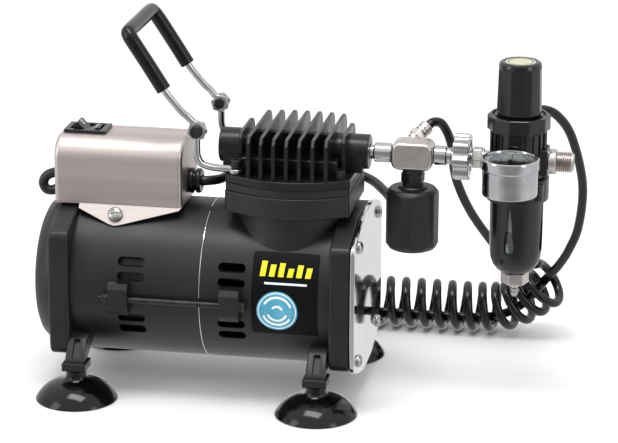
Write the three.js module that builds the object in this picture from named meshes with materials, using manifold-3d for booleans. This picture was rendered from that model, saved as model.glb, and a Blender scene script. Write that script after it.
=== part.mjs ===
// Single-piston airbrush compressor with a hinged carry handle, a pressure switch box, a filter
// regulator and a coiled damper hose. Millimetres, +Z up. +X runs along the motor shaft from the
// fan end to the regulator, -Y is the side of the label. The origin is on the floor, at the middle
// of the box round the machine without its hose.
import * as THREE from 'three';
import { mergeVertices } from 'three/addons/utils/BufferGeometryUtils.js';
import Module from 'manifold-3d';

const wasm = await Module();
wasm.setup();

// ---- driving dimensions ----
const gap = 0.3;                       // clearance left between solids that touch in the real object
const shaftZ = 77;                     // height of the motor shaft
const bodyR = 57.5;                    // outside radius of both housing halves
const bodyWall = 3.5;
const fanEndX = -173.5;                // outer face of the flange at the fan end
const seamX = -64;                     // joint between the two housing halves
const plateX = 45;                     // outer face of the flange at the crank end
const flangeDepth = 15;
const plateThickness = 3.4;
const coverEndX = -188;                // outer face of the fan cover
const headX = -5;                      // axis of the cylinder and its head
const headWidth = 90;                  // along X
const headDepth = 98;                  // along Y, at the middle of its bowed front and back
const headBow = 13;                    // how far the bow stands out past the corners
const headScrewX = 37;                 // head screws, from the axis of the cylinder
const headScrewY = 31;
const cylinderFlangeZ = 138;
const valvePlateZ = 153.6;
const headBaseZ = 159.7;
const finBaseZ = 165.5;
const finTopZ = 195;
const finPitch = 9.2;
const finThickness = 2.6;
const boreR = 19;                      // piston bore
const stroke = 14;
const footX = [-153, 22];
const footY = 64;
const cupR = 29.5;
const portZ = 177.5;                   // height of the air line through head, tee and regulator
const teeX = 80;                       // middle of the tee block and of the silencer under it
const regulatorX = 154.5;              // axis of the filter regulator
const gaugeY = -42.4;
const gaugeR = 20.5;
const boxFromX = -176.5;               // switch box
const boxToX = -82.5;
const boxHalfY = 28;
const boxZ = 136.3;
const boxTopZ = 183;
const rockerX = -157.7;
const pivotX = -68;                    // hinge of the carry handle
const pivotZ = 197.5;
const armY = 38;
const hoseR = 3.3;
const coilR = 19.6;                    // outside radius of the coiled hose
const coilY = 132;
const lugY = 61.5;                     // middle of the side lugs that hold the clamp bolts
const spiderX = -158;                  // ribs that carry the rear bearing
const partitionX = -36;                // wall between motor and crankcase
const crownZ = 137.5;                  // top of the piston at the bottom of its stroke
const boxWall = 1.6;                   // sheet of the switch box
const grommetZ = 149;                  // where the pressure line leaves the switch box
const baseZ = 134.9;                   // underside of the base plate of the switch box
const rockerZ = 180.5;                 // hinge of the rocker
const rockerTip = 12;                  // degrees that the rocker rests at
const silencerR = 18.7;                // canister under the tee
const gripFromX = -92;                 // the grip begins where the arms are straight
const regulatorSide = 19;              // half width of the regulator body
const neckR = 11.4;                    // threaded neck that the knob slides over
const knobBoreR = 13.3;                // bore of the knob, which clears the neck
const collarTopZ = 166.2;              // top of the bayonet collar
const knobTopZ = 249;                  // top of the regulator knob
const gaugeFromZ = 164;                // back of the gauge case
const gaugeTopZ = 191;                 // front of its bezel

// ---- finishes ----
function finish(color, roughness, metalness) {
  return new THREE.MeshStandardMaterial({ color, roughness, metalness });
}

const finishes = {
  blackCasting: () => finish(0x2b2a2e, 0.5, 0.4),
  blackPlastic: () => finish(0x1d1d20, 0.35, 0),
  blackRubber: () => finish(0x151517, 0.45, 0),
  vinyl: () => finish(0x1c1b1e, 0.4, 0),
  satinNickel: () => finish(0xb5aba8, 0.4, 0.9),
  polishedMetal: () => finish(0xd8d5d8, 0.15, 1),
  chrome: () => finish(0xdedee2, 0.1, 1),
  steel: () => finish(0x9a9aa0, 0.4, 1),
  copper: () => finish(0xb06a3a, 0.4, 0.9),
  aluminium: () => finish(0xc4c4c8, 0.45, 1),
  clearPlastic: () => finish(0xe6ecee, 0.1, 0),
  filterFelt: () => finish(0xe8e4da, 0.9, 0),
};

const compressor = new THREE.Group();

// ---- shape helpers ----
function toSolid(geometry) {
  const bare = geometry.clone();
  bare.deleteAttribute('normal');
  bare.deleteAttribute('uv');
  const merged = mergeVertices(bare, 1e-4);
  const place = merged.attributes.position;
  const corners = [];
  let volume = 0;
  const a = new THREE.Vector3();
  const b = new THREE.Vector3();
  const c = new THREE.Vector3();
  for (let i = 0; i < merged.index.count; i += 3) {
    const face = [0, 1, 2].map((k) => merged.index.getX(i + k));
    if (face[0] === face[1] || face[1] === face[2] || face[2] === face[0]) continue;
    corners.push(face);
    a.fromBufferAttribute(place, face[0]);
    b.fromBufferAttribute(place, face[1]);
    c.fromBufferAttribute(place, face[2]);
    volume += a.dot(b.cross(c));
  }
  const outward = volume > 0 ? corners : corners.map((face) => [face[0], face[2], face[1]]);
  return new wasm.Manifold(new wasm.Mesh({
    numProp: 3,
    vertProperties: Float32Array.from(place.array),
    triVerts: Uint32Array.from(outward.flat()),
  }));
}

function toGeometry(solid) {
  const mesh = solid.getMesh();
  const geometry = new THREE.BufferGeometry();
  geometry.setAttribute('position', new THREE.BufferAttribute(mesh.vertProperties, 3));
  geometry.setIndex(new THREE.BufferAttribute(mesh.triVerts, 1));
  geometry.computeVertexNormals();
  return geometry;
}

function joined(...solids) {
  return solids.reduce((whole, solid) => whole.add(solid));
}

function cut(solid, ...tools) {
  return tools.reduce((left, tool) => left.subtract(tool), solid);
}

function addPart(name, solid, material) {
  const mesh = new THREE.Mesh(toGeometry(solid), material);
  mesh.name = name;
  compressor.add(mesh);
}

// turns a shape built along +Z (or +Y for lathes) so that it runs along the named axis
const axisTurn = {
  x: new THREE.Matrix4().makeBasis(
    new THREE.Vector3(0, 1, 0), new THREE.Vector3(0, 0, 1), new THREE.Vector3(1, 0, 0)),
  y: new THREE.Matrix4().makeBasis(
    new THREE.Vector3(0, 0, 1), new THREE.Vector3(1, 0, 0), new THREE.Vector3(0, 1, 0)),
  z: new THREE.Matrix4(),
};

// centre is the place across the axis: [y, z] for x, [x, z] for y, [x, y] for z
function centreOffset(axis, centre) {
  if (axis === 'x') return [0, centre[0], centre[1]];
  if (axis === 'y') return [centre[0], 0, centre[1]];
  return [centre[0], centre[1], 0];
}

function block(x0, x1, y0, y1, z0, z1) {
  const geometry = new THREE.BoxGeometry(x1 - x0, y1 - y0, z1 - z0);
  geometry.translate((x0 + x1) / 2, (y0 + y1) / 2, (z0 + z1) / 2);
  return toSolid(geometry);
}

// a body of revolution; profile is a list of [radius, position along the axis]
function turned(axis, profile, centre, sides = 24) {
  const points = profile.map(([r, h]) => new THREE.Vector2(r, h));
  const geometry = new THREE.LatheGeometry(points, sides);
  geometry.rotateX(Math.PI / 2);
  geometry.applyMatrix4(axisTurn[axis]);
  geometry.translate(...centreOffset(axis, centre));
  return toSolid(geometry);
}

function rod(axis, radius, from, to, centre, sides = 24) {
  return turned(axis, [[0, from], [radius, from], [radius, to], [0, to]], centre, sides);
}

function ring(axis, outer, inner, from, to, centre, sides = 24) {
  const profile = [[inner, from], [outer, from], [outer, to], [inner, to], [inner, from]];
  return turned(axis, profile, centre, sides);
}

function hexagon(axis, acrossFlats, from, to, centre) {
  return rod(axis, acrossFlats / Math.sqrt(3), from, to, centre, 6);
}

// outline is a list of [x, y] across the axis: [y, z] for x, [z, x] for y, [x, y] for z
function prism(axis, outline, from, to) {
  const shape = new THREE.Shape(outline.map(([u, v]) => new THREE.Vector2(u, v)));
  const geometry = new THREE.ExtrudeGeometry(shape, { depth: to - from, bevelEnabled: false });
  geometry.translate(0, 0, from);
  geometry.applyMatrix4(axisTurn[axis]);
  return toSolid(geometry);
}

function roundedRectangle(cx, cy, width, height, radius, steps = 4) {
  const outline = [];
  const corners = [[1, 1], [-1, 1], [-1, -1], [1, -1]];
  corners.forEach(([sx, sy], quarter) => {
    for (let i = 0; i <= steps; i++) {
      const angle = (quarter + i / steps) * Math.PI / 2;
      outline.push([
        cx + sx * (width / 2 - radius) + radius * Math.cos(angle),
        cy + sy * (height / 2 - radius) + radius * Math.sin(angle),
      ]);
    }
  });
  return outline;
}

// a round bar along a smooth line through the points
function sweep(points, radius, steps, sides = 8, tension = 0.5) {
  const path = new THREE.CatmullRomCurve3(
    points.map((p) => new THREE.Vector3(...p)), false, 'catmullrom', tension);
  const section = new THREE.Shape();
  for (let i = 0; i < sides; i++) {
    const angle = 2 * Math.PI * i / sides;
    const corner = [radius * Math.cos(angle), radius * Math.sin(angle)];
    if (i === 0) section.moveTo(...corner);
    else section.lineTo(...corner);
  }
  return toSolid(new THREE.ExtrudeGeometry(section, { steps, extrudePath: path, bevelEnabled: false }));
}

// ---- housing ----
// square flange whose sides bulge a little, drawn across the shaft as [y, z]
function flangeOutline(grow = 0) {
  const quarter = [[62, 0], [60.5, 40], [57, 46], [20, 57.4]];
  const signs = [[1, 1], [-1, 1], [-1, -1], [1, -1]];
  const outline = [];
  signs.forEach(([sy, sz], turn) => {
    const run = turn % 2 === 0 ? quarter : quarter.slice().reverse();
    run.forEach(([y, z]) => {
      if (z === 0 && turn % 2 === 1) return;
      outline.push([sy * (y + grow), shaftZ + sz * (z === 0 ? 0 : z + grow)]);
    });
  });
  return outline;
}

// slanted strut from the underside of the housing to the collar of a suction cup
function leg(x, side) {
  const outline = [[footY + 7, 22.3], [footY + 7, 29], [50, 50], [38, 50], [38, 38], [footY - 7, 22.3]]
    .map(([y, z]) => [side * y, z]);
  return prism('x', outline, x - 8, x + 8);
}

// pair of rounded slots that let the cooling air through the housing wall
function ventSlots(x) {
  const slots = [];
  [25.2, 14.4, -16.7, -26.9].forEach((degrees) => {
    const z = shaftZ + bodyR * Math.sin(THREE.MathUtils.degToRad(degrees));
    const y = bodyR * Math.cos(THREE.MathUtils.degToRad(degrees));
    [1, -1].forEach((side) => {
      slots.push(prism('y', roundedRectangle(z, x, 6.4, 20, 3, 1), side * y - 12, side * y + 8));
    });
  });
  return slots;
}

// ear on each side of the housing that a clamp bolt passes through

function lugs(x) {
  return [1, -1].map((side) => prism('x',
    roundedRectangle(side * 60.5, shaftZ, 11, 24, 3, 2), x - 7.3, x + 7.3));
}

function lugBores(x) {
  return [1, -1].map((side) => rod('x', 2.6, x - 12, x + 12, [side * lugY, shaftZ - 1], 12));
}

const lugX = { rear: -121.8, front: -41 };

const rearShell = joined(
  rod('x', bodyR, fanEndX, seamX - gap / 2, [0, shaftZ], 40),
  prism('x', flangeOutline(), fanEndX, fanEndX + flangeDepth),
  leg(footX[0], 1), leg(footX[0], -1), ...lugs(lugX.rear));
const coolingHoles = [];
for (let i = 0; i < 6; i++) {
  const angle = Math.PI / 3 * i;
  coolingHoles.push(rod('x', 10, spiderX - 1, spiderX + 4,
    [34 * Math.cos(angle), shaftZ + 34 * Math.sin(angle)], 8));
}
const rearHousing = cut(rearShell,
  rod('x', bodyR - bodyWall, fanEndX - 1, spiderX, [0, shaftZ], 30),
  rod('x', bodyR - bodyWall, spiderX + 3, seamX + 1, [0, shaftZ], 30),
  rod('x', 11.3, spiderX - 1, spiderX + 4, [0, shaftZ], 18),
  ...coolingHoles, ...ventSlots(-114), ...lugBores(lugX.rear));
addPart('rear_housing', rearHousing, finishes.blackCasting());


// outline shared by the cylinder flange, the valve plate and the head, as [x, y]
function cylinderFlange(inset = 0) {
  const corner = 3;
  const half = headWidth / 2 - inset;
  const bowX = half - corner;
  const arc = (x) => headDepth / 2 - inset - headBow * (x / bowX) ** 2;
  const front = [];
  for (let i = 0; i <= 8; i++) {
    const x = bowX * (i / 4 - 1);
    front.push([headX + x, -arc(x)]);
  }
  const sideY = arc(bowX) - corner;
  const right = [[headX + half, -sideY], [headX + half, sideY]];
  const back = front.map(([x, y]) => [x, -y]).reverse();
  return [...front, ...right, ...back, [headX - half, sideY], [headX - half, -sideY]];
}

const frontShell = joined(
  rod('x', bodyR, seamX + gap / 2, plateX, [0, shaftZ], 40),
  prism('x', flangeOutline(), plateX - flangeDepth, plateX),
  rod('z', 43, shaftZ, cylinderFlangeZ + 1, [headX, 0], 30),
  prism('z', cylinderFlange(), cylinderFlangeZ, valvePlateZ - gap),
  leg(footX[1], 1), leg(footX[1], -1), ...lugs(lugX.front));
const frontHousing = cut(frontShell,
  rod('x', bodyR - bodyWall, seamX - 1, partitionX, [0, shaftZ], 30),
  rod('x', 50, partitionX + 3, plateX + 1, [0, shaftZ], 30),
  rod('x', 11.3, partitionX - 1, partitionX + 4, [0, shaftZ], 18),
  rod('z', 24, shaftZ, valvePlateZ + 1, [headX, 0], 26),
  ...ventSlots(lugX.front), ...lugBores(lugX.front));
addPart('front_housing', frontHousing, finishes.blackCasting());

// dished cover over the fan, with a ring of air slots in its face
const coverShell = turned('x', [
  [0, coverEndX], [44, coverEndX], [49.5, coverEndX + 2.5], [53, coverEndX + 7], [56.5, fanEndX - gap],
  [54, fanEndX - gap], [50.5, coverEndX + 8], [46, coverEndX + 3.5], [42, coverEndX + 2], [0, coverEndX + 2],
], [0, shaftZ], 30);
const coverSlots = [];
for (let i = 0; i < 12; i++) {
  const slot = prism('x', roundedRectangle(29, 0, 20, 6, 2.9, 1), coverEndX - 1, coverEndX + 3);
  coverSlots.push(slot.rotate([360 / 12 * i, 0, 0]).translate([0, 0, shaftZ]));
}
addPart('fan_cover', cut(coverShell, ...coverSlots), finishes.blackPlastic());

addPart('end_plate', prism('x', flangeOutline(0.8), plateX + gap, plateX + gap + plateThickness),
  finishes.polishedMetal());

[['front', -1], ['back', 1]].forEach(([place, side]) => {
  const at = [side * lugY, shaftZ - 1];
  addPart(`clamp_bolt_${place}`, joined(
    hexagon('x', 7, -133.5, lugX.rear - 7.3 - gap, at),
    rod('x', 2.2, -130, -31, at, 12),
    hexagon('x', 7, lugX.front + 7.3 + gap, -29.5, at)), finishes.steel());
});

// ---- motor ----
addPart('stator_core', ring('x', 53.6, 42.4, -132, -78, [0, shaftZ], 26), finishes.steel());
addPart('stator_winding', ring('x', 42, 30, -142, -68, [0, shaftZ], 22), finishes.copper());
addPart('rotor_core', ring('x', 29, 5.3, -130, -80, [0, shaftZ], 22), finishes.steel());
addPart('motor_shaft', rod('x', 5, -178, -20.3, [0, shaftZ], 18), finishes.steel());
addPart('bearing_rear', ring('x', 11, 5.3, -161, -154, [0, shaftZ], 18), finishes.steel());
addPart('bearing_front', ring('x', 11, 5.3, -38, -31, [0, shaftZ], 18), finishes.steel());

const fanHub = ring('x', 13, 5.3, -173, -163, [0, shaftZ], 18);
const fanBlades = [];
for (let i = 0; i < 7; i++) {
  const blade = block(-1, 1, 11, 46, -7, 7).rotate([0, 28, 0]).translate([-168, 0, 0]);
  fanBlades.push(blade.rotate([360 / 7 * i, 0, 0]).translate([0, 0, shaftZ]));
}
addPart('cooling_fan', joined(fanHub, ...fanBlades), finishes.blackPlastic());

const crankR = stroke / 2;
addPart('crank_disc', joined(
  rod('x', 21, -20, -12.3, [0, shaftZ], 22),
  rod('x', 5.5, -13, -9.6, [0, shaftZ - crankR], 14)), finishes.steel());

// ---- cylinder ----
addPart('cylinder_sleeve', ring('z', 23.7, boreR, 103, valvePlateZ - gap, [headX, 0], 26),
  finishes.steel());

addPart('piston_rod', joined(
  rod('z', boreR - 0.4, crownZ - 9, crownZ, [headX, 0], 22),
  cut(block(-8, -2, -7, 7, shaftZ - crankR, crownZ - 8)
    .add(rod('x', 11, -8, -2, [0, shaftZ - crankR], 18)),
  rod('x', 6, -9, -1, [0, shaftZ - crankR], 14))), finishes.aluminium());

addPart('valve_plate', prism('z', cylinderFlange(0.6), valvePlateZ, headBaseZ - gap),
  finishes.blackCasting());

const headShell = [
  prism('z', cylinderFlange(), headBaseZ, finBaseZ),
  block(headX - 36, headX + 36, -20, 20, finBaseZ - 1, 186),
  rod('x', 12.5, headX - 54, headX - 30, [0, portZ], 14),
  rod('x', 12.5, headX + 30, headX + 54, [0, portZ], 14),
  block(headX - 50, headX - 30, -12.5, 12.5, finBaseZ - 1, portZ),
  block(headX + 30, headX + 44, -12.5, 12.5, finBaseZ - 1, portZ),
];
for (let i = -4; i <= 4; i++) {
  const x = headX + 1.5 + i * finPitch;
  const half = Math.abs(i) === 4 ? 24 : 46 - 0.4 * i * i;
  const outline = [[-half, finBaseZ - 1], [half, finBaseZ - 1], [half, finTopZ - 9],
    [half - 2.6, finTopZ - 2.6], [half - 9, finTopZ], [3 - half, finTopZ], [-half, finTopZ - 2]];
  headShell.push(prism('x', outline, x - finThickness / 2, x + finThickness / 2));
}
const portBores = [-1, 1].map((side) => rod('x', 5.3,
  Math.min(headX + side * 55, headX + side * 42), Math.max(headX + side * 55, headX + side * 42),
  [0, portZ], 12));
addPart('cylinder_head', cut(joined(...headShell), ...portBores), finishes.blackCasting());

// ---- suction cup feet ----
[['front', -1], ['back', 1]].forEach(([place, side]) => {
  footX.forEach((x, end) => {
    const profile = [[0, 22], [7.6, 22], [7.6, 16], [16, 12.5], [24, 7], [cupR, 1.5],
      [cupR - 0.6, 0], [24, 0], [0, 8]];
    addPart(`suction_cup_${end === 0 ? 'left' : 'right'}_${place}`,
      turned('z', profile, [x, side * footY], 24), finishes.blackRubber());
  });
});

// ---- switch box ----
function boxOutline(inset) {
  const half = boxHalfY - inset;
  const top = boxTopZ - inset;
  const shoulder = 16 - inset;
  const outline = [[-half, boxZ - inset * 5], [half, boxZ - inset * 5]];
  for (let i = 0; i <= 6; i++) {
    const angle = Math.PI / 2 * i / 6;
    outline.push([half - shoulder + shoulder * Math.cos(angle), top - shoulder + shoulder * Math.sin(angle)]);
  }
  for (let i = 0; i <= 6; i++) {
    const angle = Math.PI / 2 * (1 + i / 6);
    outline.push([shoulder - half + shoulder * Math.cos(angle), top - shoulder + shoulder * Math.sin(angle)]);
  }
  return outline;
}

const leadHoles = [151, 140.8];
addPart('switch_cover', cut(
  prism('x', boxOutline(0), boxFromX, boxToX),
  prism('x', boxOutline(boxWall), boxFromX + boxWall, boxToX - boxWall),
  block(rockerX - 13.5, rockerX + 13.5, -9.5, 9.5, 178, 186),
  rod('x', 6.3, boxToX - 3, boxToX + 1, [0, grommetZ], 14),
  ...leadHoles.map((z) => rod('x', 4.7, boxFromX - 1, boxFromX + 3, [-6, z], 12)),
  rod('y', 4.3, boxHalfY - 3, boxHalfY + 1, [-135, 150], 12)), finishes.satinNickel());

// base plate under the box; its front edge is folded down over the housing to a screw point
const tab = prism('z', [[-158, 0], [-82.5, 0], [-84, -2], [-126, -15.6], [-130, -16], [-134, -15.6],
  [-158, -4]], -1.2, 0);
addPart('switch_base', joined(
  block(boxFromX, boxToX, -boxHalfY, boxHalfY, baseZ, boxZ - gap),
  tab.rotate([54, 0, 0]).translate([0, -boxHalfY + 0.6, boxZ - gap])), finishes.satinNickel());

addPart('pressure_switch', block(-120, -92, -14, 12, boxZ + 0.2, 166), finishes.blackPlastic());

addPart('rocker_bezel', cut(
  joined(block(rockerX - 15.5, rockerX + 15.5, -11, 11, boxTopZ + gap, boxTopZ + 2.3),
    block(rockerX - 13.2, rockerX + 13.2, -9.2, 9.2, 168, boxTopZ + 1)),
  block(rockerX - 11.5, rockerX + 11.5, -7.4, 7.4, 171, boxTopZ + 3)), finishes.blackPlastic());

// the rocker rests tipped, with its left half up
const rockerOutline = [[-10.4, 1], [-9.6, 5], [-7.5, 8], [0, 3.6], [7.5, 8], [9.6, 5], [10.4, 1], [4, -5],
  [-4, -5]];
addPart('rocker', prism('y', rockerOutline.map(([x, z]) => [z, x]), -7, 7)
  .rotate([0, rockerTip, 0]).translate([rockerX, 0, rockerZ]), finishes.blackPlastic());

addPart('cable_gland', turned('y', [[0, boxHalfY - 1.4], [4, boxHalfY - 1.4], [4, boxHalfY + gap],
  [6.5, boxHalfY + gap], [5.2, boxHalfY + 9], [0, boxHalfY + 9]], [-135, 150], 14), finishes.blackRubber());

addPart('grommet', turned('x', [[4.3, boxToX - 4], [6, boxToX - 4], [6, boxToX + gap], [9.2, boxToX + gap],
  [9.2, boxToX + 3.5], [7.6, boxToX + 4.5], [9, boxToX + 6], [8.2, boxToX + 9], [4.3, boxToX + 9],
  [4.3, boxToX - 4]], [0, grommetZ], 18), finishes.blackRubber());

// pressure line from the box, round the back of the cylinder, to the silencer
const tubeRoute = [[boxToX - 2, 0, grommetZ], [-76, 0, grommetZ], [-70, 0.6, 149], [-62, 8, 148.6],
  [-57.5, 24, 148], [-54.5, 41, 147.6], [-45, 54.5, 147.2], [-30, 58.5, 147], [-5, 60, 146],
  [24, 58, 144.5], [42, 49, 142], [54, 34, 139], [61, 22, 137], [66, 13.4, 136]];
addPart('pressure_tube', sweep(tubeRoute, 3.5, 26, 8), finishes.blackRubber());

// motor lead, looped out of the end of the box and back in below
addPart('motor_lead', sweep([[boxFromX + 1, -6, leadHoles[0]], [-182, -6, 150.8], [-188, -6, 147.8],
  [-190.4, -6, 142.4], [-188, -6, 137.8], [-183, -6, 137.6], [-179, -6, 139.8],
  [boxFromX + 1, -6, leadHoles[1]]], 3.6, 16, 8), finishes.blackRubber());

// ---- carry handle ----
const eyeX = headX - headScrewX;
[['front', -1], ['back', 1]].forEach(([place, side]) => {
  const y = side * armY;
  addPart(`handle_bracket_${place}`, joined(
    cut(rod('z', 5.2, finBaseZ + gap, finBaseZ + 3.4, [eyeX, side * headScrewY], 14),
      rod('z', 2.4, finBaseZ, finBaseZ + 4, [eyeX, side * headScrewY], 12)),
    sweep([[eyeX - 3.5, side * 32, 168.6], [-52, side * 34.5, 169.4], [-59, side * 38, 171.2],
      [-65, side * 41, 174.4], [-67.6, side * 41.8, 180], [pivotX, side * 41.8, 186],
      [pivotX, side * 41.8, 193]], 2.5, 11, 8),
    rod('y', 5.8, Math.min(side * 39.2, side * 43.4), Math.max(side * 39.2, side * 43.4),
      [pivotX, pivotZ], 18),
    rod('y', 2.2, Math.min(side * 34, side * 40), Math.max(side * 34, side * 40), [pivotX, pivotZ], 14)),
  finishes.chrome());
});

const handleRise = [[-71, pivotZ + 5], [-75, 207], [-80, 211], [-91, 224], [-102.5, 242], [-113, 258]];
const handleTop = [-118, 265.2];
function bailRoute(fromX) {
  const arm = (side) => handleRise.filter(([x]) => x <= fromX).map(([x, z]) => [x, side * armY, z]);
  const corner = (side) => [[-116.8, side * 36.6, 263.4], [handleTop[0], side * 31, handleTop[1]]];
  return [...arm(-1), ...corner(-1), [handleTop[0], 0, handleTop[1]], ...corner(1).reverse(),
    ...arm(1).reverse()];
}
const armEyes = [-1, 1].map((side) => cut(
  rod('y', 5.4, Math.min(side * 34.6, side * 38.7), Math.max(side * 34.6, side * 38.7), [pivotX, pivotZ], 18),
  rod('y', 2.6, Math.min(side * 34, side * 39), Math.max(side * 34, side * 39), [pivotX, pivotZ], 14)));
const armRoots = [-1, 1].map((side) => sweep([[pivotX - 2, side * 36.3, pivotZ + 4],
  [-72, side * 36.7, 203.4], [-76, side * 38, 207.6]], 2.5, 3, 8));
const bail = [[-76, -armY, 207.6], ...bailRoute(-80), [-76, armY, 207.6]];
addPart('carry_handle', joined(sweep(bail, 2.5, 24, 8), ...armEyes, ...armRoots), finishes.chrome());
const gripRoute = [[gripFromX, -armY, 225.6], ...bailRoute(-100), [gripFromX, armY, 225.6]];
addPart('handle_grip', cut(sweep(gripRoute, 5.2, 18, 10), sweep(bail, 2.9, 24, 8)), finishes.vinyl());

// ---- air line ----
addPart('tee_nipple', joined(
  rod('x', 5, 43, 53, [0, portZ], 14),
  rod('x', 7, 52, teeX - 15 - gap, [0, portZ], 18)),
  finishes.chrome());

const teeOutline = roundedRectangle(0, portZ, 20, 20, 4, 3);
addPart('tee_block', cut(prism('x', teeOutline, teeX - 15, teeX + 15),
  rod('y', 2.6, 5, 11, [teeX + 4, portZ + 1], 12)), finishes.satinNickel());

addPart('tee_elbow', sweep([[teeX + 4, 10 + gap, portZ + 1], [teeX + 4, 16, portZ + 1.2],
  [teeX + 4.2, 21.5, 181.5], [teeX + 5, 24.5, 187.5]], 3.3, 6, 10)
  .add(hexagon('y', 9, 10 + gap, 14, [teeX + 4, portZ + 1])), finishes.chrome());

addPart('union_nipple', joined(
  rod('x', 7, teeX + 15 + gap, 104, [0, portZ], 18),
  rod('x', 5.8, 103, 107.4, [0, portZ], 18),
  rod('x', 4.6, 107, 122.3, [0, portZ], 14)), finishes.chrome());

const wheelOutline = [];
for (let i = 0; i < 32; i++) {
  const angle = 2 * Math.PI * i / 32;
  const radius = 15.7 + 1.3 * Math.cos(8 * angle);
  wheelOutline.push([radius * Math.cos(angle), portZ + radius * Math.sin(angle)]);
}
addPart('hand_wheel', cut(prism('x', wheelOutline, 108, 121.6), rod('x', 5, 107, 123, [0, portZ], 14)),
  finishes.chrome());

addPart('inlet_nut', joined(
  hexagon('x', 14, 122.6, 130, [0, portZ]),
  rod('x', 5.5, 129, 135.2, [0, portZ], 14)),
  finishes.chrome());

addPart('silencer', turned('z', [[0, 108], [16.5, 108], [silencerR, 110.5], [silencerR, 148],
  [16.8, 150], [8, 150], [7.5, 151], [7.5, portZ - 10 - gap], [0, portZ - 10 - gap]], [teeX, 0], 22),
finishes.blackCasting());

// ---- filter regulator ----
addPart('regulator_body', joined(
  turned('z', [[0, collarTopZ + gap], [regulatorSide, collarTopZ + gap], [regulatorSide, 199.7],
    [neckR, 199.7], [neckR, 214], [0, 214]], [regulatorX, 0], 22),
  block(regulatorX + 14, regulatorX + 21.7, -9, 9, portZ - 9, portZ + 10)), finishes.blackPlastic());

addPart('ring_nut', ring('z', 21.6, 13.4, 200, 211, [regulatorX, 0], 10), finishes.blackPlastic());

addPart('adjusting_screw', joined(rod('z', 4, 214.3, 236, [regulatorX, 0], 12),
  rod('z', 7, 230, 236, [regulatorX, 0], 12)), finishes.steel());
addPart('regulator_knob', turned('z', [[knobBoreR, 211.3], [15.5, 211.3], [15.5, 245], [13.6, knobTopZ],
  [0, knobTopZ], [0, 243.5], [knobBoreR, 243.5], [knobBoreR, 211.3]], [regulatorX, 0], 18),
  finishes.blackPlastic());

addPart('gauge_case', joined(
  turned('z', [[0, gaugeFromZ], [18.4, gaugeFromZ], [19.4, gaugeFromZ + 1], [19.4, 183], [gaugeR, 184],
    [gaugeR, gaugeTopZ - 1], [gaugeR - 1, gaugeTopZ], [18, gaugeTopZ], [18, 186.5], [0, 186.5]],
  [regulatorX - 1, gaugeY], 26),
  rod('y', 4.5, gaugeY + 18, -regulatorSide - gap, [regulatorX - 1, portZ - 4], 12)), finishes.chrome());
addPart('gauge_needle', joined(
  rod('z', 2, 186.8, 188.2, [regulatorX - 1, gaugeY], 12),
  prism('z', [[-0.7, -4], [0.7, -4], [0.25, 14], [-0.25, 14]].map(([x, y]) => [x, y]), 187.3, 188)
    .rotate([0, 0, 135]).translate([regulatorX - 1, gaugeY, 0])), finishes.blackPlastic());
addPart('gauge_lens', rod('z', 17.7, 189, 190.4, [regulatorX - 1, gaugeY], 22), finishes.clearPlastic());

addPart('outlet_nipple', joined(rod('x', 8, regulatorX + 22, 182, [0, portZ], 18),
  ring('x', 7.6, 4, 181, 194, [0, portZ], 18)), finishes.chrome());

addPart('regulator_elbow', sweep([[regulatorX + 2, regulatorSide + gap, 180], [regulatorX + 2, 25, 180.2],
  [regulatorX + 2.4, 29, 184], [regulatorX + 3, 30, 190]], 3.3, 6, 10), finishes.chrome());

// clear bowl with a filter inside, in a slotted guard with a bayonet collar
const guardShell = turned('z', [[8, 95], [12, 96.5], [17, 103], [18.6, 112], [18.6, 149], [22.4, 149.6],
  [22.4, collarTopZ], [17.2, collarTopZ], [17.2, 112], [15.6, 104], [11, 98.4], [8, 97], [8, 95]],
[regulatorX, 0], 26);
const sightSlots = [0, 90, 180, 270].map((turn) => prism('x',
  [[-4, 113], [4, 113], [4.6, 146], [-4.6, 146]], 10, 18).rotate([0, 0, turn]).translate([regulatorX, 0, 0]));
addPart('bowl_guard', cut(guardShell, ...sightSlots), finishes.blackPlastic());
addPart('filter_bowl', turned('z', [[5.5, 99.4], [10.4, 99.4], [15, 105], [16.9, 112.5], [16.9, 165.8],
  [15.4, 165.8], [15.4, 113], [13.6, 106], [9.6, 101.4], [5.5, 101.4], [5.5, 99.4]], [regulatorX, 0], 22),
finishes.clearPlastic());
addPart('filter_element', rod('z', 9, 126, 164, [regulatorX, 0], 14), finishes.filterFelt());
addPart('drain_nut', cut(hexagon('z', 18, 85, 94.7, [regulatorX, 0])
  .add(rod('z', 5.2, 94, 104, [regulatorX, 0], 12)), rod('z', 3.2, 84, 105, [regulatorX, 0], 12)),
finishes.satinNickel());
addPart('drain_pin', turned('z', [[0, 76], [1.8, 76], [2.9, 78], [2.9, 98], [0, 98]], [regulatorX, 0], 12),
  finishes.chrome());

// ---- damper hose: one hose from the tee, wound into a coil and back out to the regulator ----
const coilRoute = [[-8, coilY, coilR + 0.4], [60, coilY, coilR + 0.4], [120, coilY, coilR + 0.4],
  [139, coilY - 0.5, 24], [154, coilY - 1.5, 33], [166, coilY - 3, 46]];
addPart('hose_coil', sweep(coilRoute, coilR, 14, 14), finishes.blackRubber());

const teeRun = [[teeX + 5.4, 25.6, 190.4], [90, 30, 192.6], [96, 36, 189], [101.4, 44, 174], [103.4, 58, 145],
  [112, 74, 116], [125, 92, 89], [136, 106, 70], [144, 116, 60.5]];
addPart('hose_tee_run', sweep(teeRun, hoseR, 22, 8), finishes.blackRubber());

const regulatorRun = [[regulatorX + 3.4, 30.4, 193.4], [160.4, 35, 201], [167, 42, 203.4], [177, 51, 197],
  [187, 63, 178], [194.4, 82, 138], [191.5, 98, 101], [184, 108, 78], [175.5, 117, 61.5]];
addPart('hose_regulator_run', sweep(regulatorRun, hoseR, 26, 8), finishes.blackRubber());

export default compressor;
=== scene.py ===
import math

import bmesh
import bpy
from mathutils import Matrix, Vector


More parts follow.
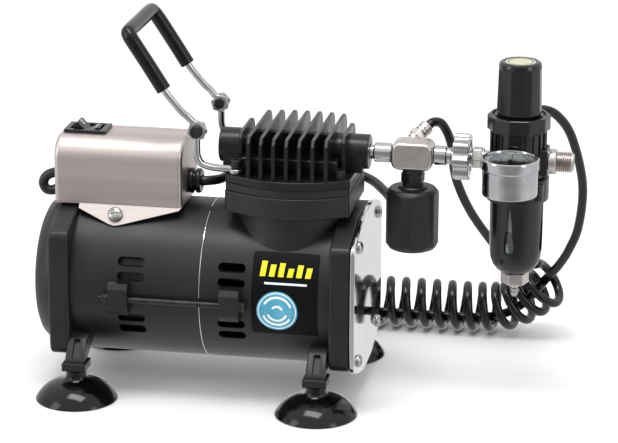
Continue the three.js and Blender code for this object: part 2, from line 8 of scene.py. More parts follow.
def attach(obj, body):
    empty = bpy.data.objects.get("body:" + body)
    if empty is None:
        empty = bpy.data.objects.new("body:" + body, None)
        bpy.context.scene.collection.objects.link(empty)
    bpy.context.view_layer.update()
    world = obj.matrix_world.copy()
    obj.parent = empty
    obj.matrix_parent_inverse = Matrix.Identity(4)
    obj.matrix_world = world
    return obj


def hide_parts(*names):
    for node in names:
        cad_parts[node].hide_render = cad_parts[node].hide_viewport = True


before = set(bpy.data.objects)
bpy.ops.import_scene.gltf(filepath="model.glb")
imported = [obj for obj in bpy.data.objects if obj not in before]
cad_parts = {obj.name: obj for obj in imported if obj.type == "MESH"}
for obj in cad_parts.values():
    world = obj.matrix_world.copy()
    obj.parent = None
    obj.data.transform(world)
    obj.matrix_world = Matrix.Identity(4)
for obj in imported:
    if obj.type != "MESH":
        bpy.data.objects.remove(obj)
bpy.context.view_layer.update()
print("frame loaded")

mm = 0.001
scene = bpy.context.scene
shaftZ = 77             # height of the motor shaft, in millimetres like every size below
portZ = 177.5           # height of the air line
mergeGap = 0.002        # points closer than this are one point


# helpers for materials
def hexColour(text):
    values = [int(text[i:i + 2], 16) / 255 for i in (1, 3, 5)]
    linear = [v / 12.92 if v <= 0.04045 else ((v + 0.055) / 1.055) ** 2.4 for v in values]
    return (*linear, 1)


# owner is a material or the world; a setting is a property of the node or one of its inputs
def addNode(owner, kind, settings=None, links=None):
    node = owner.node_tree.nodes.new("ShaderNode" + kind)
    for key, value in (settings or {}).items():
        if isinstance(key, str) and hasattr(node, key):
            setattr(node, key, value)
        else:
            node.inputs[key].default_value = value
    for key, socket in (links or {}).items():
        owner.node_tree.links.new(socket, node.inputs[key])
    return node


def newMaterial(name, values):
    material = bpy.data.materials.new(name)
    material.use_nodes = True
    shader = material.node_tree.nodes["Principled BSDF"]
    for key, value in values.items():
        shader.inputs[key].default_value = value
    return material, shader


def linkTo(material, socket, shader, name):
    material.node_tree.links.new(socket, shader.inputs[name])


# colour that drifts between two shades, roughness that drifts with it, and a fine relief;
# patch, grain and relief are real sizes in millimetres
def texturedSurface(name, look):
    values = {"Metallic": look.get("metallic", 0), "Roughness": look["roughness"][0]}
    if "ior" in look:
        values["IOR"] = look["ior"]
    if "reflection" in look:
        values["Specular IOR Level"] = look["reflection"]
    material, shader = newMaterial(name, values)
    place = addNode(material, "TexCoord").outputs["Object"]
    if "stretch" in look:
        place = addNode(material, "Mapping", {"Scale": look["stretch"]}, {"Vector": place}).outputs[0]
    patches = addNode(material, "TexNoise", {"Scale": 1 / (look["patch"] * mm), "Detail": 4},
                      {"Vector": place})
    grain = addNode(material, "TexNoise",
                    {"Scale": 1 / (look["grain"] * mm), "Detail": 3, "Roughness": 0.6}, {"Vector": place})
    shade = addNode(material, "Mix", {"data_type": "RGBA", 6: hexColour(look["colours"][0]),
                                      7: hexColour(look["colours"][1])})
    blend = addNode(material, "MapRange", {"From Min": 0.35, "From Max": 0.65},
                    {"Value": patches.outputs["Fac"]})
    material.node_tree.links.new(blend.outputs[0], shade.inputs[0])
    linkTo(material, shade.outputs[2], shader, "Base Color")
    gloss = addNode(material, "MapRange",
                    {"From Min": 0.3, "From Max": 0.7, "To Min": look["roughness"][0],
                     "To Max": look["roughness"][1]}, {"Value": patches.outputs["Fac"]})
    linkTo(material, gloss.outputs[0], shader, "Roughness")
    relief = addNode(material, "Bump", {"Strength": look["strength"], "Distance": look["relief"] * mm},
                     {"Height": grain.outputs["Fac"]})
    linkTo(material, relief.outputs[0], shader, "Normal")
    return material


looks = {
    # powder coat on die-cast aluminium: fine orange peel, soft wide highlights
    "powderCoatedCasting": {"colours": ["#111113", "#17171a"], "roughness": [0.38, 0.46], "patch": 40,
                            "grain": 1.1, "relief": 0.05, "strength": 0.35, "ior": 1.5, "reflection": 0.48},
    # black enamel on a sand-cast head: coarser grain, a little dust in the hollows
    "enamelledCasting": {"colours": ["#0f0f11", "#19191c"], "roughness": [0.22, 0.34], "patch": 14,
                         "grain": 0.9, "relief": 0.1, "strength": 0.45, "ior": 1.5, "reflection": 0.35},
    # injection-moulded ABS: nearly smooth, glossy
    "glossAbs": {"colours": ["#09090a", "#0e0e10"], "roughness": [0.14, 0.22], "patch": 25,
                 "grain": 2.0, "relief": 0.02, "strength": 0.3, "ior": 1.53, "reflection": 0.5},
    # moulded polyamide of switch and fan parts, spark-eroded matt texture
    "satinPolyamide": {"colours": ["#0d0d0f", "#141416"], "roughness": [0.36, 0.46], "patch": 18,
                       "grain": 0.7, "relief": 0.04, "strength": 0.4, "ior": 1.5},
    # compression-moulded nitrile rubber of the cups: polished mould, faint bloom
    "mouldedRubber": {"colours": ["#050506", "#09090a"], "roughness": [0.1, 0.17], "patch": 22,
                      "grain": 1.4, "relief": 0.03, "strength": 0.3, "ior": 1.52, "reflection": 0.35},
    # extruded polyurethane hose: glossy skin with slight ripples
    "extrudedPolyurethane": {"colours": ["#060607", "#0a0a0b"], "roughness": [0.13, 0.22], "patch": 30,
                             "grain": 3.0, "relief": 0.05, "strength": 0.3, "ior": 1.5, "reflection": 0.4},
    # dipped PVC of the grip: soft sheen, fine skin
    "dippedVinyl": {"colours": ["#060607", "#0b0b0c"], "roughness": [0.12, 0.22], "patch": 16,
                    "grain": 1.2, "relief": 0.06, "strength": 0.4, "ior": 1.53, "reflection": 0.3},
    # PVC jacket of the lead and the pressure line
    "pvcJacket": {"colours": ["#0b0b0d", "#121214"], "roughness": [0.3, 0.4], "patch": 12,
                  "grain": 0.8, "relief": 0.03, "strength": 0.4, "ior": 1.53},
    # satin nickel over brushed steel sheet: long fine lines along the box
    "brushedNickel": {"colours": ["#c4bab6", "#d4cac6"], "metallic": 1, "roughness": [0.36, 0.46],
                      "patch": 14, "grain": 1.0, "relief": 0.02, "strength": 0.35, "stretch": (0.03, 1, 1)},
    # satin nickel over forged brass: small even ripples
    "satinNickel": {"colours": ["#c3bbb7", "#d0c9c5"], "metallic": 1, "roughness": [0.24, 0.32], "patch": 9,
                    "grain": 0.8, "relief": 0.02, "strength": 0.35},
    # mirror-polished stainless sheet with faint wipe marks
    "polishedSteel": {"colours": ["#cfcdd0", "#dad8db"], "metallic": 1, "roughness": [0.03, 0.07],
                      "patch": 30, "grain": 12.0, "relief": 0.004, "strength": 0.1},
    # bright chromium plating
    "chromePlate": {"colours": ["#b2b1b3", "#c1c0c2"], "metallic": 1, "roughness": [0.05, 0.1], "patch": 12,
                    "grain": 4.0, "relief": 0.02, "strength": 0.2},
    # clear-passivated zinc of screws and nuts
    "zincPlate": {"colours": ["#a5a39f", "#c2c0bc"], "metallic": 1, "roughness": [0.22, 0.34], "patch": 5,
                  "grain": 0.7, "relief": 0.02, "strength": 0.3},
    # black oxide on the clamp bolts
    "blackOxideSteel": {"colours": ["#2b2a2c", "#3a393b"], "metallic": 0.7, "roughness": [0.3, 0.42],
                        "patch": 6, "grain": 0.8, "relief": 0.03, "strength": 0.4},
    # stacked steel laminations: lines across the shaft
    "laminatedSteel": {"colours": ["#2b2a2d", "#3c3b3f"], "metallic": 1, "roughness": [0.35, 0.5], "patch": 8,
                       "grain": 0.8, "relief": 0.08, "strength": 0.6, "stretch": (1, 0.04, 0.04)},
    # turned and ground steel of shaft, bearings and crank
    "groundSteel": {"colours": ["#9b9b9f", "#b4b4b8"], "metallic": 1, "roughness": [0.2, 0.32], "patch": 7,
                    "grain": 0.7, "relief": 0.02, "strength": 0.3},
    # varnished copper wire of the winding
    "varnishedCopper": {"colours": ["#8d4a22", "#b9683a"], "metallic": 0.9, "roughness": [0.28, 0.42],
                        "patch": 4, "grain": 1.0, "relief": 0.25, "strength": 0.8, "stretch": (0.1, 1, 1)},
    # cast and machined aluminium of the piston
    "machinedAluminium": {"colours": ["#b6b6ba", "#cbcbce"], "metallic": 1, "roughness": [0.3, 0.42],
                          "patch": 9, "grain": 0.7, "relief": 0.03, "strength": 0.3},
    # pressed felt of the filter
    "pressedFelt": {"colours": ["#d9d4c6", "#ece8dc"], "roughness": [0.85, 0.95], "patch": 3,
                    "grain": 0.5, "relief": 0.3, "strength": 0.9},
    # compressed fibre gasket, seen only as a thin edge
    "gasketFibre": {"colours": ["#121110", "#1a1918"], "roughness": [0.7, 0.85], "patch": 4,
                    "grain": 0.5, "relief": 0.05, "strength": 0.5},
    # printed vinyl foil of the label, one colour of ink each
    "labelBlack": {"colours": ["#040608", "#06080b"], "roughness": [0.4, 0.46], "patch": 20,
                   "grain": 1.5, "relief": 0.01, "strength": 0.2, "ior": 1.5, "reflection": 0.15},
    "labelYellow": {"colours": ["#e6d713", "#f2e423"], "roughness": [0.3, 0.36], "patch": 9,
                    "grain": 1.5, "relief": 0.01, "strength": 0.2, "ior": 1.5},
    "labelBlue": {"colours": ["#3c93ad", "#58a9c0"], "roughness": [0.3, 0.36], "patch": 9,
                  "grain": 1.5, "relief": 0.01, "strength": 0.2, "ior": 1.5},
    "labelWhite": {"colours": ["#dfe6ea", "#eef2f4"], "roughness": [0.3, 0.36], "patch": 9,
                   "grain": 1.5, "relief": 0.01, "strength": 0.2, "ior": 1.5},
    # lacquered white dial of the gauge
    "dialLacquer": {"colours": ["#e4e3df", "#edece9"], "roughness": [0.4, 0.5], "patch": 9,
                    "grain": 0.8, "relief": 0.01, "strength": 0.2, "ior": 1.5},
    # pale painted disc in the top of the knob
    "paleEnamel": {"colours": ["#b9b89c", "#c9c8b0"], "roughness": [0.35, 0.45], "patch": 6,
                   "grain": 0.8, "relief": 0.02, "strength": 0.3, "ior": 1.5},
}
materials = {name: texturedSurface(name, look) for name, look in looks.items()}


# moulded polycarbonate: clear, with a slight grey cast
def clearPolycarbonate():
    values = {"Base Color": hexColour("#e9eef0"), "Roughness": 0.06, "IOR": 1.58, "Transmission Weight": 1}
    material, shader = newMaterial("clearPolycarbonate", values)
    place = addNode(material, "TexCoord").outputs["Object"]
    waves = addNode(material, "TexNoise", {"Scale": 1 / (9 * mm), "Detail": 2}, {"Vector": place})
    relief = addNode(material, "Bump", {"Strength": 0.15, "Distance": 0.05 * mm},
                     {"Height": waves.outputs["Fac"]})
    linkTo(material, relief.outputs[0], shader, "Normal")
    return material


materials["clearPolycarbonate"] = clearPolycarbonate()
print("materials made")


# helpers for shapes, all in millimetres
axisTurn = {
    "x": Matrix(((0, 0, 1), (1, 0, 0), (0, 1, 0))),
    "y": Matrix(((0, 1, 0), (0, 0, 1), (1, 0, 0))),
    "z": Matrix.Identity(3),
}


# turns a shape built along +Z onto the named axis and moves it; centre is [y, z], [x, z] or [x, y]
def alongAxis(bm, axis, centre):
    bmesh.ops.transform(bm, matrix=axisTurn[axis].to_4x4(), verts=bm.verts)
    shift = {"x": (0, *centre), "y": (centre[0], 0, centre[1]), "z": (*centre, 0)}[axis]
    bmesh.ops.translate(bm, vec=shift, verts=bm.verts)


def cleaned(bm):
    bmesh.ops.remove_doubles(bm, verts=bm.verts, dist=mergeGap)
    bmesh.ops.dissolve_degenerate(bm, edges=bm.edges, dist=0.001)
    bmesh.ops.recalc_face_normals(bm, faces=bm.faces)
    return bm


def bevelSharp(bm, width, segments=3, angle=30):
    limit = math.radians(angle)
    edges = [e for e in bm.edges if len(e.link_faces) == 2 and e.calc_face_angle(0) > limit]
    bmesh.ops.bevel(bm, geom=edges, offset=width, offset_type="OFFSET", segments=segments, profile=0.5,
                    affect="EDGES", clamp_overlap=True, material=-1)
    return bm


# spins a profile, a list of [radius, position along the axis]; soft rounds its sharp edges
def turned(axis, profile, centre, steps=64, soft=0, softSteps=3):
    bm = bmesh.new()
    points = [bm.verts.new((r, 0, h)) for r, h in profile]
    edges = [bm.edges.new(pair) for pair in zip(points, points[1:])]
    bmesh.ops.spin(bm, geom=points + edges, cent=(0, 0, 0), axis=(0, 0, 1), dvec=(0, 0, 0),
                   angle=2 * math.pi, steps=steps, use_merge=True, use_duplicate=False)
    cleaned(bm)
    if soft:
        bevelSharp(bm, soft, softSteps)
    alongAxis(bm, axis, centre)
    return bm


def rod(axis, radius, start, end, centre, steps=48, soft=0.3):
    return turned(axis, [[0, start], [radius, start], [radius, end], [0, end]], centre, steps, soft)


def ring(axis, outer, inner, start, end, centre, steps=64, soft=0.3):
    profile = [[inner, start], [outer, start], [outer, end], [inner, end], [inner, start]]
    return turned(axis, profile, centre, steps, soft)


# outline is a list of [u, v] across the axis: [y, z] for x, [z, x] for y, [x, y] for z
def prism(axis, outline, start, end, soft=0, softSteps=2, angle=30, centre=(0, 0)):
    bm = bmesh.new()
    face = bm.faces.new([bm.verts.new((u, v, start)) for u, v in outline])
    grown = bmesh.ops.extrude_face_region(bm, geom=[face])["geom"]
    top = [v for v in grown if isinstance(v, bmesh.types.BMVert)]
    bmesh.ops.translate(bm, vec=(0, 0, end - start), verts=top)
    cleaned(bm)
    if soft:
        bevelSharp(bm, soft, softSteps, angle)
    alongAxis(bm, axis, centre)
    return bm


def polygon(sides, radius, turn=0):
    angles = [turn + 2 * math.pi * i / sides for i in range(sides)]
    return [[radius * math.cos(angle), radius * math.sin(angle)] for angle in angles]


def hexagon(axis, acrossFlats, start, end, centre, turn=0, soft=0.4):
    return prism(axis, polygon(6, acrossFlats / math.sqrt(3), turn), start, end, soft, 2, 30, centre)


def block(low, high, soft=0.4, softSteps=3):
    bm = bmesh.new()
    bmesh.ops.create_cube(bm, size=1)
    bmesh.ops.scale(bm, vec=[b - a for a, b in zip(low, high)], verts=bm.verts)
    bmesh.ops.translate(bm, vec=[(a + b) / 2 for a, b in zip(low, high)], verts=bm.verts)
    if soft:
        bevelSharp(bm, soft, softSteps)
    return bm


def roundedRectangle(cx, cy, width, height, radius, steps=6):
    outline = []
    for quarter, (sx, sy) in enumerate([(1, 1), (-1, 1), (-1, -1), (1, -1)]):
        for i in range(steps + 1):
            angle = (quarter + i / steps) * math.pi / 2
            outline.append([cx + sx * (width / 2 - radius) + radius * math.cos(angle),
                            cy + sy * (height / 2 - radius) + radius * math.sin(angle)])
    return outline


def turnedAbout(bm, axis, degrees, centre=(0, 0, 0)):
    spin = Matrix.Rotation(math.radians(degrees), 3, axis)
    bmesh.ops.rotate(bm, cent=centre, matrix=spin, verts=bm.verts)
    return bm


def moved(bm, shift):
    bmesh.ops.translate(bm, vec=shift, verts=bm.verts)
    return bm


def together(*shapes):
    whole = shapes[0]
    for shape in shapes[1:]:
        mesh = bpy.data.meshes.new("part")
        shape.to_mesh(mesh)
        shape.free()
        whole.from_mesh(mesh)
        bpy.data.meshes.remove(mesh)
    return whole


# smooth line through the points, with the given number of steps between neighbours
def smoothLine(points, steps):
    points = [Vector(p) for p in points]
    ends = [2 * points[0] - points[1]] + points + [2 * points[-1] - points[-2]]
    line = []
    for a, b, c, d in zip(ends, ends[1:], ends[2:], ends[3:]):
        for i in range(steps):
            t = i / steps
            line.append(0.5 * (2 * b + (c - a) * t + (2 * a - 5 * b + 4 * c - d) * t * t
                               + (3 * b - a - 3 * c + d) * t ** 3))
    return line + [points[-1]]


def curveObject(name, points, radius, sides=6):
    curve = bpy.data.curves.new(name, "CURVE")
    curve.dimensions = "3D"
    curve.bevel_depth = radius
    curve.bevel_resolution = sides
    curve.use_fill_caps = True
    spline = curve.splines.new("POLY")
    spline.points.add(len(points) - 1)
    for spot, place in zip(spline.points, points):
        spot.co = (*place, 1)
    spline.use_smooth = True
    piece = bpy.data.objects.new(name, curve)
    scene.collection.objects.link(piece)
    return piece


# round bar along a smooth line through the points
def bar(points, radius, steps=8, sides=6):
    line = curveObject("bar", smoothLine(points, steps), radius, sides)
    mesh = bpy.data.meshes.new_from_object(line.evaluated_get(bpy.context.evaluated_depsgraph_get()))
    bm = bmesh.new()
    bm.from_mesh(mesh)
    curve = line.data
    bpy.data.objects.remove(line)
    bpy.data.curves.remove(curve)
    bpy.data.meshes.remove(mesh)
    return cleaned(bm)


def meshObject(name, bm):
    mesh = bpy.data.meshes.new(name)
    bm.to_mesh(mesh)
    bm.free()
    piece = bpy.data.objects.new(name, mesh)
    scene.collection.objects.link(piece)
    return piece


# boolean of one shape with another, both closed
def shaped(bm, tools, operation="DIFFERENCE"):
    piece = meshObject("work", bm)
    helpers = []
    for tool in tools:
        helper = meshObject("tool", tool)
        modifier = piece.modifiers.new("shape", "BOOLEAN")
        modifier.operation = operation
        modifier.solver = "EXACT"
        modifier.object = helper
        helpers.append(helper)
    mesh = bpy.data.meshes.new_from_object(piece.evaluated_get(bpy.context.evaluated_depsgraph_get()))
    result = bmesh.new()
    result.from_mesh(mesh)
    for used in [piece] + helpers:
        data = used.data
        bpy.data.objects.remove(used)
        bpy.data.meshes.remove(data)
    bpy.data.meshes.remove(mesh)
    bmesh.ops.remove_doubles(result, verts=result.verts, dist=mergeGap)
    return result


softEdge = {"segments": 2, "angle": 40}     # rounding of a piece that asks for soft edges


# last step of every piece: metres, smooth shading, material, body and the CAD nodes it stands for
def finishPiece(name, bm, body, material, nodes=(), smooth=35, soft=0):
    bmesh.ops.scale(bm, vec=(mm, mm, mm), verts=bm.verts)
    limit = math.radians(smooth)
    for face in bm.faces:
        face.smooth = True
    for edge in bm.edges:
        if len(edge.link_faces) == 2:
            edge.smooth = edge.calc_face_angle(0) < limit
    piece = meshObject(name, bm)
    piece.data.materials.clear()
    piece.data.materials.append(materials[material])
    if soft:
        bevel = piece.modifiers.new("softEdges", "BEVEL")
        bevel.width = soft * mm
        bevel.segments = softEdge["segments"]
        bevel.limit_method = "ANGLE"
        bevel.angle_limit = math.radians(softEdge["angle"])
        bevel.harden_normals = True
    normals = piece.modifiers.new("flatFacesStayFlat", "WEIGHTED_NORMAL")
    normals.keep_sharp = True
    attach(piece, body)
    if nodes:
        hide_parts(*nodes)
    return piece


# camera, floor and light
view = {"target": (5.0, 0.0, 122.7), "azimuth": 10.2, "elevation": 17.5, "roll": 0.25, "distance": 1988,
        "focalPixels": 2760, "imageWidth": 618, "sensor": 36}


def addCamera():
    a, e = math.radians(view["azimuth"]), math.radians(view["elevation"])
    back = Vector((math.sin(a) * math.cos(e), -math.cos(a) * math.cos(e), math.sin(e)))
    right = Vector((0, 0, 1)).cross(back).normalized()
    up = back.cross(right)
    roll = math.radians(view["roll"])
    turnedRight = math.cos(roll) * right + math.sin(roll) * up
    turnedUp = back.cross(turnedRight)
    data = bpy.data.cameras.new("camera")
    data.sensor_width = view["sensor"]
    data.lens = view["sensor"] * view["focalPixels"] / view["imageWidth"]
    data.clip_end = 50
    camera = bpy.data.objects.new("camera", data)
    place = (Vector(view["target"]) + back * view["distance"]) * mm
    camera.matrix_world = Matrix.Translation(place) @ Matrix(
        (turnedRight, turnedUp, back)).transposed().to_4x4()
    scene.collection.objects.link(camera)
    scene.camera = camera


lights = [
    {"name": "topSoftbox", "place": (-0.1, -0.35, 1.7), "aim": (0, 0, 0.1), "size": (1.0, 0.55), "power": 14},
    {"name": "leftSoftbox", "place": (-1.7, -1.1, 0.9), "aim": (0, 0, 0.12), "size": (0.7, 1.5), "power": 9},
    {"name": "rightStrip", "place": (1.6, -0.9, 0.7), "aim": (0, 0, 0.12), "size": (0.5, 1.3), "power": 5},
]


def addLight(values):
    data = bpy.data.lights.new(values["name"], "AREA")
    data.shape = "RECTANGLE"
    data.size, data.size_y = values["size"]
    data.energy = values["power"]
    lamp = bpy.data.objects.new(values["name"], data)
    aim = Vector(values["aim"]) - Vector(values["place"])
    turn = aim.to_track_quat("-Z", "Y").to_matrix().to_4x4()
    lamp.matrix_world = Matrix.Translation(values["place"]) @ turn
    scene.collection.objects.link(lamp)


studio = {"floorColour": "#f4f4f5", "floorRoughness": 0.6, "floorHalf": 14.0, "skyColour": "#f7f7f9",
          "overhead": 1.15, "overheadFrom": (0.12, 0.6), "around": 0.95, "front": 0.42,
          "frontFrom": (0.55, 0.92)}


# pale floor, and a sky that is bright overhead, pale around and darker in front of the machine;
# seen directly it is one even tone
def addStudio():
    bm = bmesh.new()
    bmesh.ops.create_grid(bm, x_segments=1, y_segments=1, size=studio["floorHalf"])
    floor = meshObject("floor", bm)
    paint = {"Base Color": hexColour(studio["floorColour"]), "Roughness": studio["floorRoughness"]}
    floor.data.materials.append(newMaterial("paintedFloor", paint)[0])
    floor.visible_glossy = False
    world = bpy.data.worlds.new("studio")
    world.use_nodes = True
    background = world.node_tree.nodes["Background"]
    background.inputs["Color"].default_value = hexColour(studio["skyColour"])
    direction = addNode(world, "TexCoord").outputs["Generated"]
    height = addNode(world, "SeparateXYZ", {}, {"Vector": direction}).outputs["Z"]
    low, high = studio["overheadFrom"]
    overhead = addNode(world, "MapRange",
                       {"From Min": low, "From Max": high, "To Min": 0, "To Max": studio["overhead"]},
                       {"Value": height}).outputs["Result"]
    angle = math.radians(view["azimuth"])
    forward = (math.sin(angle), -math.cos(angle), 0)
    front = addNode(world, "VectorMath", {"operation": "DOT_PRODUCT", 1: forward},
                    {0: direction}).outputs["Value"]
    low, high = studio["frontFrom"]
    around = addNode(world, "MapRange",
                     {"From Min": low, "From Max": high, "To Min": studio["around"],
                      "To Max": studio["front"]}, {"Value": front}).outputs["Result"]
    glow = addNode(world, "Math", {"operation": "MAXIMUM"}, {0: overhead, 1: around}).outputs[0]
    seen = addNode(world, "LightPath").outputs["Is Camera Ray"]
    strength = addNode(world, "Mix", {"B": 1.0}, {"Factor": seen, "A": glow}).outputs["Result"]
    world.node_tree.links.new(strength, background.inputs["Strength"])
    scene.world = world


addCamera()
for values in lights:
    addLight(values)
addStudio()
scene.view_settings.view_transform = "Standard"
print("camera, floor and light placed")

# damper hose: one hose from the tee, wound into a coil, back inside it and up to the regulator
hose = {
    "diameter": 6.8, "windRadius": 16.2, "turns": 15.25, "pointsPerTurn": 26, "coilMargins": (3.2, 2.0),
    "stepsPerPoint": 7,
    "axis": [[-8, 132, 20], [60, 132, 20], [120, 132, 20], [139, 131.5, 24], [154, 130.5, 33],
             [171, 128.5, 47]],
    "fromTee": [[86.2, 26.4, 191], [90.4, 30.2, 193.4], [96, 36, 190], [101.4, 44, 174], [103.4, 58, 145],
                [112, 74, 116], [125, 92, 89], [136, 106, 70], [144, 116, 60.5]],
    "turnIn": [[-9.5, 141.5, 14], [-6, 134, 10.8]],
    "back": [[8, 132, 10.7], [30, 132, 10.7], [60, 132, 10.7], [95, 132, 10.7], [120, 132, 11.8],
             [139, 131.5, 18], [154, 129.5, 31], [165, 124, 47]],
    "toRegulator": [[175.5, 117, 61.5], [184, 108, 78], [191.5, 98, 101], [194.4, 82, 138], [187, 63, 178],
                    [177, 51, 197], [167, 42, 203.4], [160.4, 35, 201], [157.9, 30.4, 193.4]],
}


# the turns of the coil, wound round its axis from the end at the regulator to the far end
def coilLine():
    axis = smoothLine(hose["axis"], 60)
    lengths = [0]
    for a, b in zip(axis, axis[1:]):
        lengths.append(lengths[-1] + (b - a).length)
    coil = []
    steps = round(hose["turns"] * hose["pointsPerTurn"])
    start, end = hose["coilMargins"][0], lengths[-1] - hose["coilMargins"][1]
    for i in range(steps + 1):
        away = end + (start - end) * i / steps
        k = max(j for j in range(len(lengths) - 1) if lengths[j] <= away)
        part = (away - lengths[k]) / (lengths[k + 1] - lengths[k])
        middle = axis[k].lerp(axis[k + 1], part)
        ahead = (axis[k + 1] - axis[k]).normalized()
        backward = Vector((0, 1, 0)) - ahead * ahead.y
        backward.normalize()
        upward = ahead.cross(backward)
        angle = 2 * math.pi * i / hose["pointsPerTurn"]
        coil.append(middle + hose["windRadius"] * (upward * math.cos(angle) + backward * math.sin(angle)))
    return coil


# number of the step at which a line reaches the spot
def stepAt(line, spot):
    return min(range(len(line)), key=lambda k: (line[k] - spot).length)


coil = coilLine()
fromTee = smoothLine(hose["fromTee"] + [coil[0], coil[3]], hose["stepsPerPoint"])
fromTee = fromTee[:stepAt(fromTee, coil[0])]
# the last turn closes into the straight run along the bottom of the coil
closing = smoothLine([coil[-4], coil[-1]] + hose["turnIn"] + hose["back"] + hose["toRegulator"],
                     hose["stepsPerPoint"])
closing = closing[stepAt(closing, coil[-1]) + 1:]
hoseLine = [p * mm for p in fromTee + coil + closing]
damperHose = curveObject("damperHose", hoseLine, hose["diameter"] / 2 * mm, 5)
damperHose.data.materials.append(materials["extrudedPolyurethane"])
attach(damperHose, "root")
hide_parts("hose_coil", "hose_tee_run", "hose_regulator_run")

# housing halves
housing = {"radius": 57.5, "wall": 3.5, "fanEnd": -173.5, "seam": -64, "seamGap": 0.25, "plateFace": 45,
           "flangeDepth": 15, "bearingRadius": 11.3, "lugHalf": 7.3,
           "lugs": {"rear": -121.8, "front": -41}, "legs": {"rear": -153, "front": 22}, "footY": 64,
           "vents": {"rear": -114, "front": -41}, "ventSize": (20, 6.4),
           "ventAngles": [25.2, 14.4, -16.7, -26.9]}


# squarish outline with bulging sides, drawn across the shaft as [y, z]
def flangeOutline(grow=0):
    quarter = [(62, 0), (61.6, 20), (60.5, 40), (59.4, 43.6), (57, 46), (40, 52), (20, 57.4), (0, 58.2)]
    corner = [(y + grow, z + grow if z else 0) for y, z in quarter]
    corner[-1] = (0, 58.2 + grow)
    outline = []
    for sy, sz, run in ((1, 1, corner), (-1, 1, corner[::-1]), (-1, -1, corner), (1, -1, corner[::-1])):
        points = [[sy * y, shaftZ + sz * z] for y, z in run]
        outline += points[:-1]
    return outline


# slanted leg with a slot outside and a square foot plate; side is -1 for the front and 1 for the back
def leg(x, side):
    outline = [[70, 26], [69, 31], [58.5, 43], [44, 48], [38, 46], [38, 38], [57.6, 29], [57.6, 26]]
    post = prism("x", [[side * y, z] for y, z in outline][::-side], x - 7, x + 7, 1.0, 3)
    slot = [[side * 66.4, 31], [side * 76, 33], [side * 66, 46], [side * 56, 41.6]]
    post = shaped(post, [prism("x", slot[::-side], x - 2.4, x + 2.4)])
    inner, outer = sorted((side * 55.5, side * 72.5))
    plate = block((x - 8.8, inner, 22.3), (x + 8.8, outer, 28.4), 0.9)
    return shaped(post, [plate], "UNION")


def lug(x, side):
    outline = [[side * 54, 65], [side * 63.5, 65], [side * 66, 69], [side * 66, 84], [side * 62.5, 89],
               [side * 54, 89]]
    return prism("x", outline[::side], x - housing["lugHalf"], x + housing["lugHalf"], 0.8, 3)


def ventCutters(x):
    cutters = []
    length, height = housing["ventSize"]
    for degrees in housing["ventAngles"]:
        z = shaftZ + housing["radius"] * math.sin(math.radians(degrees))
        y = housing["radius"] * math.cos(math.radians(degrees))
        for side in (-1, 1):
            outline = roundedRectangle(z, x, height, length, height / 2 - 0.05, 5)
            cutters.append(prism("y", outline, side * y - 11, side * y + 9))
    return together(*cutters)


def barrel(start, end):
    bore = housing["radius"] - housing["wall"]
    return ring("x", housing["radius"], bore, start, end, (0, shaftZ), 128, 0.7)


seamRing = ring("x", housing["radius"] + 0.1, 54, housing["seam"] - 0.3, housing["seam"] + 0.3,
                (0, shaftZ), 128, 0.12)
finishPiece("seamRing", seamRing, "root", "polishedSteel")
rear = barrel(housing["fanEnd"] + 1, housing["seam"] - housing["seamGap"])
rearParts = [prism("x", flangeOutline(), housing["fanEnd"], housing["fanEnd"] + housing["flangeDepth"], 2, 4)]
rearParts += [leg(housing["legs"]["rear"], side) for side in (-1, 1)]
rearParts += [lug(housing["lugs"]["rear"], side) for side in (-1, 1)]
rear = shaped(rear, rearParts, "UNION")
# the fan turns in a pocket in front of a disc with the bearing hole and six air holes
airHoles = []
for y, z in polygon(6, 34):
    airHoles.append(rod("x", 10, -160, -150, (y, shaftZ + z), 24, 0))
spider = rod("x", 54.4, -158, -155, (0, shaftZ), 96, 0)
bearingHole = rod("x", housing["bearingRadius"], -160, -150, (0, shaftZ), 32, 0)
rear = shaped(rear, [rod("x", 54, -172.5, -156, (0, shaftZ), 96, 0)])
rear = shaped(rear, [shaped(spider, [together(bearingHole, *airHoles)])], "UNION")
rear = shaped(rear, [ventCutters(housing["vents"]["rear"])])
finishPiece("rearHousing", rear, "root", "powderCoatedCasting", ["rear_housing"])

head = {"x": -5, "width": 90, "depth": 98, "bow": 13, "flangeZ": 138, "plateZ": 153.6, "baseZ": 159.7,
        "finBaseZ": 165.5, "finTopZ": 195, "finPitch": 9.2, "finThickness": 2.6, "screwX": 37, "screwY": 31}


# outline with bowed front and back, shared by cylinder flange, valve plate, gaskets and head
def headOutline(inset=0, corner=4):
    half = head["width"] / 2 - inset
    bowX = half - corner
    front = []
    for i in range(17):
        x = bowX * (i / 8 - 1)
        front.append([head["x"] + x, -(head["depth"] / 2 - inset - head["bow"] * (x / bowX) ** 2)])
    sideY = -front[-1][1] - corner
    rounding = []
    for i in range(1, 4):
        angle = math.pi / 2 * i / 4
        rounding.append([head["x"] + bowX + corner * math.sin(angle), -(sideY + corner * math.cos(angle))])
    right = rounding + [[head["x"] + half, -sideY], [head["x"] + half, sideY]]
    right += [[x, -y] for x, y in rounding[::-1]]
    back = [[x, -y] for x, y in front[::-1]]
    left = [[2 * head["x"] - x, -y] for x, y in right]
    return front + right + back + left


